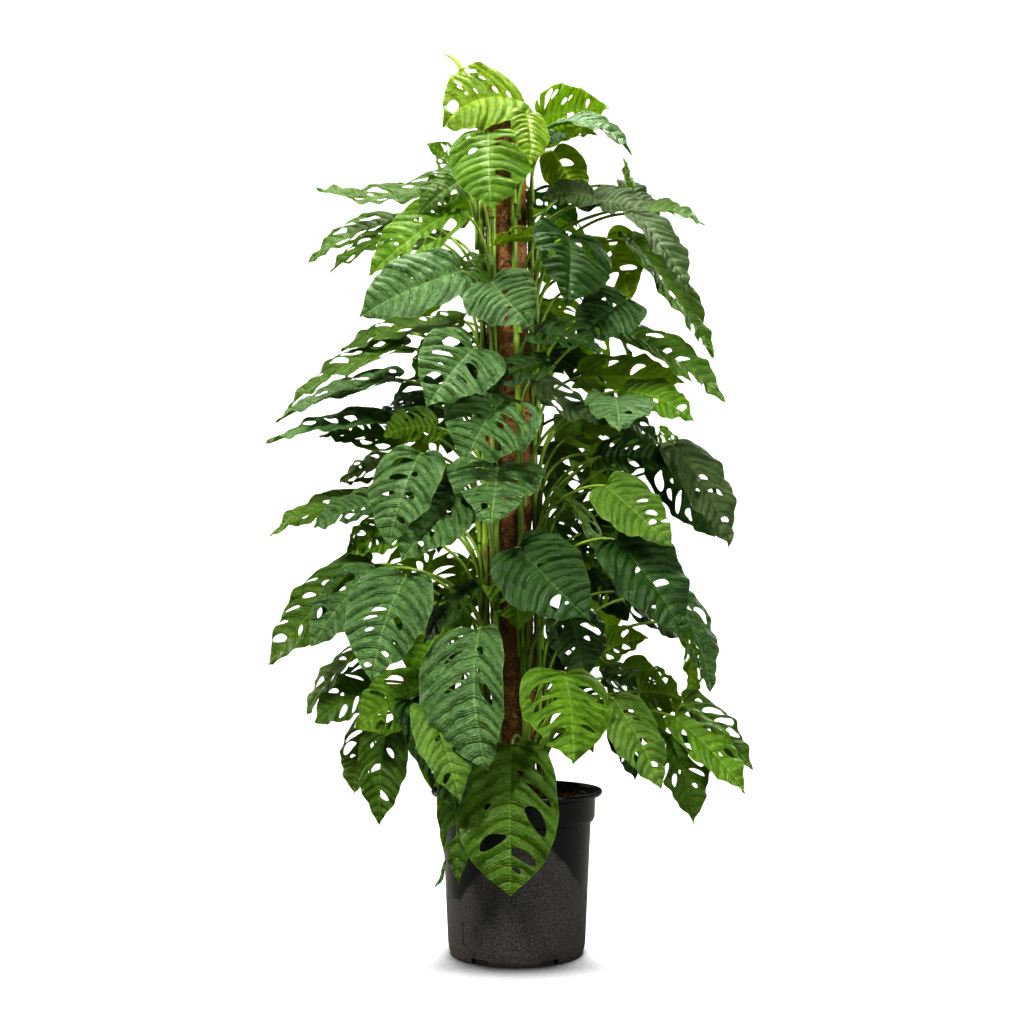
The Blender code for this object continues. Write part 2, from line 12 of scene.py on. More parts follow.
import bmesh
import bpy
import numpy as np
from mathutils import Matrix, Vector, noise
from mathutils.bvhtree import BVHTree
from mathutils.geometry import delaunay_2d_cdt, interpolate_bezier


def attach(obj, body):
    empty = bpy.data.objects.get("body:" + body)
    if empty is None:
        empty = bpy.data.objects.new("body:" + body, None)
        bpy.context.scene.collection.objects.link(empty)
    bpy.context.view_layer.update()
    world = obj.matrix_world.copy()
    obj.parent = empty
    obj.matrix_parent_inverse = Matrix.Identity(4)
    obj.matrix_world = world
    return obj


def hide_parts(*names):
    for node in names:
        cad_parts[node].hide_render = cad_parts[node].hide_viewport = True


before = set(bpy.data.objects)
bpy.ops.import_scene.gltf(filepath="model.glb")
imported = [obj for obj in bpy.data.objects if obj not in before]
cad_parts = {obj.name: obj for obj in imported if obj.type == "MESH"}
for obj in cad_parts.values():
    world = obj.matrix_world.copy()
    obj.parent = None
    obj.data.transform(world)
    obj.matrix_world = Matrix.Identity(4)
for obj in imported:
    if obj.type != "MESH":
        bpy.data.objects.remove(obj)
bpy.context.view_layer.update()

CM = 0.01
GAP = 0.0003
OBSERVER = Vector((-0.0066, -2.0, 0.453))

# Pot: outer and inner profiles as (radius, height), and the notches and drain holes of its foot.
POT_STEPS = 44
POT_OUTER = (
    (0.1195, 0.2250), (0.1206, 0.2222), (0.1192, 0.2180), (0.1108, 0.2150),
    (0.1098, 0.1880), (0.1080, 0.1832), (0.1044, 0.1812), (0.1040, 0.1785),
    (0.0958, 0.0160), (0.0940, 0.0050), (0.0915, 0.0),
)
POT_UNDERSIDE = ((0.0840, 0.0), (0.0820, 0.0055), (0.0580, 0.0055), (0.0560, 0.0), (0.0, 0.0))
POT_FLOOR = 0.0100
POT_INNER = (
    (0.0, POT_FLOOR), (0.0905, POT_FLOOR), (0.0936, 0.0160), (0.1018, 0.1785),
    (0.1060, 0.1850), (0.1078, 0.1890), (0.1088, 0.2160), (0.1165, 0.2205),
    (0.1172, 0.2250),
)
NOTCHES = 6
NOTCH_TURN = math.radians(237.5)
NOTCH_SIZE = (0.024, 0.027, 0.0150)
NOTCH_RADIUS = 0.0920
DRAIN_HOLES = 6
DRAIN_RADIUS = 0.0050
DRAIN_CIRCLE = 0.0700

# Peat: its top is a little higher round the pole than at the wall of the pot.
SOIL_TOP = 0.2125
SOIL_EDGE = 0.2100
SOIL_FLAT = 0.060
SOIL_CLEARANCE = 0.0005

# Coir pole: a straight, slightly leaning pole whose wrap has come loose into a bulge at the top.
POLE_FOOT = Vector((0.0, 0.0, POT_FLOOR + 0.0004))
POLE_HEAD = Vector((-0.018, 0.0, 1.210))
POLE_RADIUS = 0.0310
POLE_BULGE = 0.0100
POLE_BULGE_HEIGHT = 1.186
POLE_BULGE_SPREAD = 0.020
POLE_STEPS = 24
POLE_LEVELS = (POLE_FOOT.z, 0.40, 0.80, 1.12, 1.145, 1.165, 1.178, 1.188, 1.198, 1.206)

# Climbing stems: heading round the pole at the foot and at the top (degrees, 270 is the front), top height.
Stem = namedtuple("Stem", "name heading heading_top top")
STEMS = (
    Stem("stem_front_left", 232, 240, 1.135),
    Stem("stem_front_right", 298, 288, 1.140),
    Stem("stem_left", 180, 188, 1.070),
    Stem("stem_right", 356, 350, 1.085),
    Stem("stem_back", 96, 86, 1.060),
)
STEM_RADIUS = 0.0055
STEM_RADIUS_TOP = 0.0042
STEM_STEP = 0.08

# The rolled new leaf, which goes on from the first stem: points as x, height and depth in centimetres, and
# its radius there.
SHOOT_RISE = 0.008
SHOOT = (
    ((-4.6, 118.0, -4.4), 0.0030),
    ((-7.0, 124.0, -5.6), 0.0034),
    ((-7.9, 126.6, -5.8), 0.0036),
    ((-9.2, 128.5, -5.9), 0.0024),
    ((-10.8, 129.4, -6.0), 0.0008),
)

# Petioles: each leaves its stem below its blade, lower the further out the blade hangs, rises along the stem
# and then bends over to the blade. The rise and the settling are shares of its reach.
PETIOLE_RADIUS = 0.0027
PETIOLE_RADIUS_END = 0.0019
PETIOLE_SEAT = 0.0002
PETIOLE_DROP = 0.06
PETIOLE_SLOPE = 0.45
PETIOLE_REACH = 80
PETIOLE_SHEATH = 0.015
PETIOLE_SHEATH_STATION = 0.1
PETIOLE_STATIONS = (0.45, 0.88)
PETIOLE_RISE = 0.5
PETIOLE_SETTLE = 0.3
PETIOLE_INTO_BLADE = 0.6
PETIOLE_CURVE_STEPS = 50
STEM_FOOT_CLEAR = 0.008
STEM_TOP_CLEAR = 0.020

# Blades.
BLADE_HALF_THICKNESS = 0.0012
BLADE_QUARTER_THICKNESS = 0.0007
BLADE_TIP_SHARE = 0.5
BLADE_CROWN = 0.05
# Each section of a blade: place of its middle and of its margin along the midrib, and its half width.
BLADE_SECTIONS = (
    (0.02, -0.06, 0.27), (0.10, 0.04, 0.44), (0.26, 0.28, 0.50),
    (0.52, 0.54, 0.44), (0.78, 0.785, 0.25), (1.0, 1.0, 0.008),
)
RING = 8

# How leaves find room: their clearances, and the pushes in depth (centimetres), the lifts of the petiole's
# seat along its stem (centimetres) and its swings round the stem (degrees) that are tried in turn.
BLADE_CLEARANCE = 0.0025
PETIOLE_CLEARANCE = 0.0010
PUSHES = (0, -1, 1, -2, 2, -3, 3, -4, 4, -5, 5, -6, 6, -7, 7, -8, 8)
STEMS_TRIED = 3
LIFTS = (0, -2, 2, -4, 4, -6, 6, -8, 8)
SWINGS = (0, 25, -25, 50, -50, 75, -75)

# A leaf: where its blade starts and ends as (x, height, depth) and its width, in centimetres; turn, which is
# 90 where the upper face looks at the observer, 0 where the blade is seen edge-on and -90 where the underside
# shows; the arch of its midrib, the fold of its halves in degrees and its sideways bend; its tone.
Leaf = namedtuple("Leaf", "name base tip width turn arch fold bend tone")
LEAVES = (
    Leaf("leaf_top_01", (1.2, 122.0, -3), (-10.9, 118.1, -7), 10.5, 60, 1.0, 8, 2.0, "young"),
    Leaf("leaf_top_02", (-4.1, 117.3, -9), (-3.7, 105.8, -12), 12.0, 80, 0.8, 8, 0, "bright"),
    Leaf("leaf_top_03", (1.6, 120.2, -3.5), (2.0, 112.4, -6), 6.0, 60, 0.5, 8, 0, "young"),
    Leaf("leaf_top_04", (4.2, 119.7, 0.5), (13.7, 121.1, 2.5), 9.6, -64, 0.8, 8, 0, "bright"),
    Leaf("leaf_top_05", (4.2, 117.9, -4), (17.0, 113.8, -6), 7.5, 14, 2.8, 10, 0, "sheen"),
    Leaf("leaf_top_07", (5.3, 114.6, -2), (9.4, 106.6, 0), 7.0, -68, 0.8, 8, 0, "young"),
    Leaf("leaf_right_02", (10.2, 107.0, -2), (18.4, 105.3, -5), 9.0, 28, 1.0, 8, 0, "dusty"),
    Leaf("leaf_right_06", (17.2, 105.2, -5), (24.7, 93.4, -8), 8.0, 28, 1.0, 14, 0, "dusty"),
    Leaf("leaf_right_07", (17.0, 101.2, -2), (28.5, 83.5, -4), 10.0, 25, 0.8, 12, 0, "mid"),
    Leaf("leaf_right_08", (13.0, 101.6, -2), (16.6, 92.4, -1), 9.2, -75, 0.8, 8, 0, "young"),
    Leaf("leaf_right_09", (7.6, 101.8, -11), (7.1, 91.6, -17), 12.5, 62, 1.0, 8, 0, "deep"),
    Leaf("leaf_left_01", (-10.3, 110.8, -1), (-29.6, 109.3, -3), 9.0, 16, -2.3, 12, 0, "mid"),
    Leaf("leaf_left_04", (-9.0, 106.0, -7), (-21.5, 96.1, -9), 8.5, 55, 0.8, 10, 0, "bright"),
    Leaf("leaf_left_05", (-17.0, 104.3, 2), (-30.5, 97.8, 3), 8.0, 20, 1.2, 10, 0, "mid"),
    Leaf("leaf_left_08", (-8.0, 96.8, -10), (-22.8, 90.0, -12), 9.5, 58, 1.0, 10, 0, "sheen"),
    Leaf("leaf_left_11", (-16.6, 85.6, -6), (-33.2, 76.6, -7), 9.0, 22, 1.4, 12, 0, "mid"),
    Leaf("leaf_left_12", (-17.6, 80.9, 0), (-34.9, 74.5, -1), 8.5, 20, 1.0, 12, 0, "sheen"),
    Leaf("leaf_front_03", (-6.2, 85.4, -14), (-13.0, 76.8, -18), 12.0, 72, 0.8, 8, 0, "sheen"),
    Leaf("leaf_front_04", (-3.7, 95.2, -11), (2.4, 88.2, -15), 10.5, 66, 0.8, 10, 0.4, "sheen"),
    Leaf("leaf_right_11", (16.0, 92.6, -9), (8.9, 86.3, -12), 9.5, 60, 0.8, 8, 0, "dusk"),
    Leaf("leaf_right_13", (15.3, 87.9, -5), (30.2, 77.5, -7), 9.0, 24, 1.0, 14, 0, "mid"),
    Leaf("leaf_right_14", (9.3, 81.3, 2), (24.4, 80.2, 4), 10.5, -34, 0.8, 8, 0, "olive"),
    Leaf("leaf_right_15", (15.3, 79.2, -7), (25.5, 74.7, -9), 7.5, 38, 1.2, 10, 0, "bright"),
    Leaf("leaf_right_16", (14.3, 78.2, -12), (14.8, 73.3, -21), 9.5, 80, 0.6, 8, 0, "sheen"),
    Leaf("leaf_front_06", (-1.4, 78.3, -14), (-7.4, 68.3, -18), 13.0, 72, 0.8, 8, 0.5, "sheen"),
    Leaf("leaf_front_09", (-2.6, 68.0, -11), (-3.7, 59.3, -21), 13.5, 85, 1.0, 8, 0, "sheen"),
    Leaf("leaf_front_10", (0.3, 56.5, -16), (10.6, 46.0, -21), 12.0, 66, 1.0, 10, 0.6, "dusk"),
    Leaf("leaf_front_11", (-5.3, 44.8, -17), (-4.0, 24.9, -21), 11.5, 75, 1.6, 6, 0.8, "sheen"),
    Leaf("leaf_low_01", (-0.7, 28.6, -15.5), (-0.8, 7.5, -19), 13.5, 80, 1.2, 8, 0, "mid"),
    Leaf("leaf_low_02", (6.9, 38.6, -16), (8.0, 25.9, -21), 13.0, 68, 1.0, -12, 0, "bright"),
    Leaf("leaf_left_13", (-15.8, 52.5, -15), (-20.5, 37.3, -18), 11.5, 66, 1.0, 8, 0.4, "sheen"),
    Leaf("leaf_left_14", (-20.5, 54.0, -4), (-35.3, 39.8, -6), 10.5, 52, 1.2, 10, 0.5, "mid"),
    Leaf("leaf_low_03", (-15.0, 34.8, -15), (-8.4, 18.3, -19.5), 8.5, 60, 1.0, 8, -0.6, "deep"),
    Leaf("leaf_low_04", (-18.3, 31.5, -4), (-19.2, 17.4, -5), 8.0, 60, 1.0, 8, 0, "mid"),
    Leaf("leaf_left_20", (-7.2, 64.6, -14), (-16.6, 54.4, -17), 10.5, 60, 1.0, 8, 0, "sheen"),
    Leaf("leaf_left_21", (-14.0, 69.9, -14), (-18.4, 56.5, -17), 10.0, 62, 1.0, 8, 0, "sheen"),
    Leaf("leaf_left_22", (-20.0, 63.9, 1), (-35.6, 58.0, 0), 8.5, 20, 1.2, 12, 0, "olive"),
    Leaf("leaf_left_27", (-17.8, 74.6, -3), (-36.3, 71.3, -4), 9.0, 20, 1.2, 12, 0, "sheen"),
    Leaf("leaf_right_20", (22.6, 71.2, -6), (30.4, 56.6, -8), 9.5, 40, 1.4, 10, 0, "dusty"),
    Leaf("leaf_right_22", (12.8, 65.4, -14), (22.3, 56.6, -17), 9.0, 54, 1.0, 8, 0.6, "pale"),
    Leaf("leaf_right_25", (14.3, 57.6, -14), (24.0, 43.8, -16), 11.0, 56, 1.0, 10, 0, "dusk"),
    Leaf("leaf_right_29", (23.6, 34.4, -2), (33.4, 25.1, -4), 8.5, 40, 0.6, 10, 0, "mid"),
    Leaf("leaf_right_32", (13.8, 35.0, -14), (20.4, 22.4, -17), 8.0, 58, 0.8, 8, 0, "pale"),
    Leaf("leaf_back_02", (6.0, 105.0, 12), (4.0, 95.0, 21), 11.0, -60, 1.0, 8, 0, "mid"),
    Leaf("leaf_back_04", (2.0, 91.0, 14), (5.0, 81.0, 24), 11.5, -62, 1.0, 8, 0, "mid"),
    Leaf("leaf_back_05", (-6.0, 82.0, 13), (-10.0, 70.0, 22), 12.0, -60, 1.0, 8, 0, "deep"),
    Leaf("leaf_back_07", (-1.0, 66.0, 16), (-2.0, 54.0, 26), 12.5, -62, 1.0, 8, 0, "mid"),
    Leaf("leaf_back_08", (9.0, 55.0, 15), (13.0, 43.0, 24), 12.0, -60, 1.0, 8, 0, "bright"),
    Leaf("leaf_back_09", (-10.0, 50.0, 14), (-15.0, 38.0, 23), 11.5, -60, 1.0, 8, 0, "mid"),
    Leaf("leaf_back_10", (1.0, 42.0, 17), (0.0, 29.0, 26), 12.5, -62, 1.0, 8, 0, "deep"),
    Leaf("leaf_back_12", (-8.0, 33.0, 14), (-10.0, 20.0, 20), 10.5, -60, 1.0, 8, 0, "bright"),
)
# Leaves that the frame doesn't hold.
MORE_LEAVES = (
    Leaf("leaf_right_10", (2.6, 87.8, -11), (12.3, 84.8, -13), 8.5, 28, 0.8, 10, 0, "deep"),
    Leaf("leaf_left_09", (-9.2, 88.8, -5), (-25.6, 84.8, -4), 8.0, 20, 1.4, 12, 0, "mid"),
    Leaf("leaf_left_18", (-13.0, 37.0, -10), (-22.8, 30.8, -11), 9.5, 60, 0.8, 8, 0, "bright"),
    Leaf("leaf_back_01", (-4.0, 112.0, 10), (-8.0, 103.0, 18), 10.0, -60, 1.0, 8, 0, "mid"),
    Leaf("leaf_back_03", (-10.0, 98.0, 11), (-14.5, 89.0, 18), 10.0, -60, 1.0, 8, 0, "bright"),
    Leaf("leaf_back_06", (9.0, 75.0, 13), (12.0, 63.0, 22), 12.0, -60, 1.0, 8, 0, "mid"),
    Leaf("leaf_back_11", (15.0, 40.0, 10), (20.0, 28.0, 17), 10.0, -60, 1.0, 8, 0, "mid"),
    Leaf("leaf_top_06", (6.2, 117.4, -5.5), (2.6, 114.6, -7), 4.2, 40, 0.5, 8, 0, "deep"),
    Leaf("leaf_top_08", (5.0, 116.2, 3), (12.0, 117.0, 6), 6.0, -20, 0.8, 8, 0, "young"),
    Leaf("leaf_right_01", (11.2, 108.0, -5), (3.6, 107.4, -8), 6.0, 42, 0.8, 8, 0, "dusty"),
    Leaf("leaf_right_03", (15.3, 106.8, 2), (15.6, 113.8, 3), 5.0, 20, 0.6, 14, 0, "bright"),
    Leaf("leaf_right_04", (15.0, 109.2, 5), (21.2, 104.3, 8), 6.0, 30, 0.8, 8, 0, "dusty"),
    Leaf("leaf_right_05", (17.4, 106.0, 0), (27.5, 103.5, 0), 8.0, 14, 1.0, 10, 0, "mid"),
    Leaf("leaf_front_01", (2.4, 102.0, -8), (-4.0, 100.5, -10), 5.0, -25, 0.6, 8, 0, "young"),
    Leaf("leaf_left_02", (-8.7, 111.0, 3), (-13.2, 115.8, 6), 6.0, -50, 0.8, 8, 0, "mid"),
    Leaf("leaf_left_03", (-7.6, 110.4, -6), (-14.2, 105.2, -8), 6.5, 50, 0.8, 8, 0, "mid"),
    Leaf("leaf_left_06", (-16.0, 102.5, -2), (-27.3, 96.4, -3), 7.0, 22, 1.0, 10, 0, "mid"),
    Leaf("leaf_left_07", (-10.3, 101.8, 4), (-18.8, 98.5, 8), 6.0, 25, 0.8, 8, 0, "olive"),
    Leaf("leaf_front_02", (-5.4, 99.2, -6), (-7.3, 92.2, -7.5), 5.5, 60, 0.8, 8, 0, "mid"),
    Leaf("leaf_left_10", (-7.8, 89.5, 2), (-15.5, 87.3, 5), 6.5, 25, 0.8, 8, 0, "olive"),
    Leaf("leaf_right_12", (8.8, 96.2, 4), (13.0, 92.9, 7), 5.5, 40, 0.8, 8, 0, "deep"),
    Leaf("leaf_front_05", (3.0, 81.0, -9), (13.5, 74.3, -11), 7.0, 32, -1.0, 8, 0, "dusty"),
    Leaf("leaf_front_07", (4.6, 83.6, -6), (-5.0, 79.3, -8), 6.5, 40, 0.8, 8, 0, "deep"),
    Leaf("leaf_front_12", (-5.9, 51.2, -7), (-13.2, 42.8, -8), 7.0, 30, 0.8, 8, 0, "deep"),
    Leaf("leaf_front_13", (-1.6, 53.2, -5.5), (0.3, 44.8, -6.5), 9.0, 60, 0.8, 8, 0, "olive"),
    Leaf("leaf_front_14", (6.3, 64.2, -10), (13.9, 51.2, -12), 7.0, 16, 0.8, 12, 0, "pale"),
    Leaf("leaf_front_15", (7.2, 47.3, -7.5), (9.6, 37.8, -9), 9.0, 60, 0.8, 8, 0, "sheen"),
    Leaf("leaf_left_15", (-20.0, 53.4, -5), (-29.3, 42.4, -8), 9.0, 50, 1.0, 8, 0, "sheen"),
    Leaf("leaf_left_16", (-20.0, 42.5, 1), (-29.8, 32.8, 2), 7.0, 25, 1.5, 10, 0, "olive"),
    Leaf("leaf_left_17", (-19.5, 37.5, -2), (-28.6, 31.6, -3), 8.5, 45, 0.8, 8, 0, "mid"),
    Leaf("leaf_left_19", (-8.7, 47.5, -3), (-14.4, 38.8, -5), 9.0, 65, 0.8, 8, 0, "bright"),
    Leaf("leaf_left_23", (-19.2, 62.8, -4), (-29.1, 59.2, -6), 8.0, 30, 1.0, 10, 0, "sheen"),
    Leaf("leaf_left_24", (-17.2, 58.8, -3), (-24.4, 55.3, -4), 8.0, 38, 0.8, 8, 0, "bright"),
    Leaf("leaf_left_25", (-17.5, 68.6, 3), (-25.5, 65.8, 5), 7.5, 30, 0.8, 8, 0, "olive"),
    Leaf("leaf_left_26", (-17.3, 71.3, -2), (-28.5, 72.5, -1), 8.0, 28, 1.0, 10, 0, "mid"),
    Leaf("leaf_left_28", (-11.2, 73.8, -4), (-19.2, 72.6, -6), 8.5, 36, 0.8, 8, 0, "olive"),
    Leaf("leaf_left_29", (-12.2, 77.2, 1), (-20.5, 74.8, 3), 6.5, 35, 0.8, 8, 0, "deep"),
    Leaf("leaf_low_05", (-20.5, 32.0, 1), (-22.9, 21.7, 2), 7.0, 45, 0.8, 8, 0, "olive"),
    Leaf("leaf_low_06", (-12.5, 34.0, -18.0), (-8.0, 20.3, -22.0), 7.2, 62, 1.0, 8, 0, "pale"),
    Leaf("leaf_low_07", (-7.0, 24.8, -12.5), (-7.1, 14.2, -14.5), 4.0, 60, 0.6, 12, 0, "pale"),
    Leaf("leaf_low_08", (-8.0, 28.0, -13.0), (-8.1, 9.3, -14.0), 5.8, 62, 0.8, 8, 0, "mid"),
    Leaf("leaf_right_17", (12.6, 76.3, 1), (20.5, 71.4, 2), 6.5, 35, 0.8, 8, 0, "deep"),
    Leaf("leaf_right_18", (21.9, 69.0, 4), (20.8, 74.3, 5), 4.5, 40, 0.5, 10, 0, "bright"),
    Leaf("leaf_right_19", (20.8, 70.6, 3), (27.8, 68.0, 4), 5.0, 18, 0.8, 10, 0, "dusty"),
    Leaf("leaf_right_21", (20.5, 69.2, 0), (28.4, 58.0, 1), 9.5, 55, 1.0, 8, 0, "deep"),
    Leaf("leaf_right_23", (12.2, 69.6, -6), (22.3, 68.4, -8), 8.5, 40, 0.8, 8, 0, "deep"),
    Leaf("leaf_right_24", (9.5, 73.2, 4), (19.8, 71.0, 7), 7.5, -30, 0.8, 8, 0, "olive"),
    Leaf("leaf_right_26", (22.8, 49.3, -2), (27.6, 36.0, -3), 7.5, 40, 1.0, 10, 0, "sheen"),
    Leaf("leaf_right_27", (24.5, 45.0, 2), (24.2, 34.4, 3), 7.0, -30, 0.8, 8, 0, "olive"),
    Leaf("leaf_right_28", (17.5, 36.1, -3), (23.6, 34.9, -6), 8.0, -50, 0.6, 8, 0, "olive"),
    Leaf("leaf_right_30", (22.3, 32.5, -6), (32.3, 21.8, -8), 8.0, 45, 0.8, 10, 0, "bright"),
    Leaf("leaf_right_31", (21.6, 30.0, -9), (24.9, 17.6, -11), 8.5, 55, 1.0, 8, 0, "mid"),
    Leaf("leaf_right_33", (12.8, 34.2, -5), (16.7, 23.6, -6), 6.0, 45, 0.8, 8, 0, "deep"),
    Leaf("leaf_right_35", (11.6, 41.2, 0), (18.8, 43.6, 2), 7.0, -45, 0.8, 8, 0, "olive"),
    Leaf("leaf_right_37", (12.3, 38.0, 1), (21.8, 34.3, 3), 6.5, 35, 0.8, 8, 0, "deep"),
    Leaf("leaf_right_38", (14.0, 50.2, 2), (23.8, 43.0, 3), 7.0, 35, 0.8, 8, 0, "deep"),
    Leaf("leaf_right_39", (9.2, 58.6, 1), (16.4, 60.6, 3), 7.0, 35, 0.8, 8, 0, "deep"),
    Leaf("leaf_right_40", (9.5, 57.5, -2), (15.5, 52.5, -1), 7.0, 45, 0.8, 8, 0, "olive"),
    Leaf("leaf_right_41", (10.5, 53.5, 2), (15.8, 46.0, 4), 8.0, 50, 0.8, 8, 0, "deep"),
)

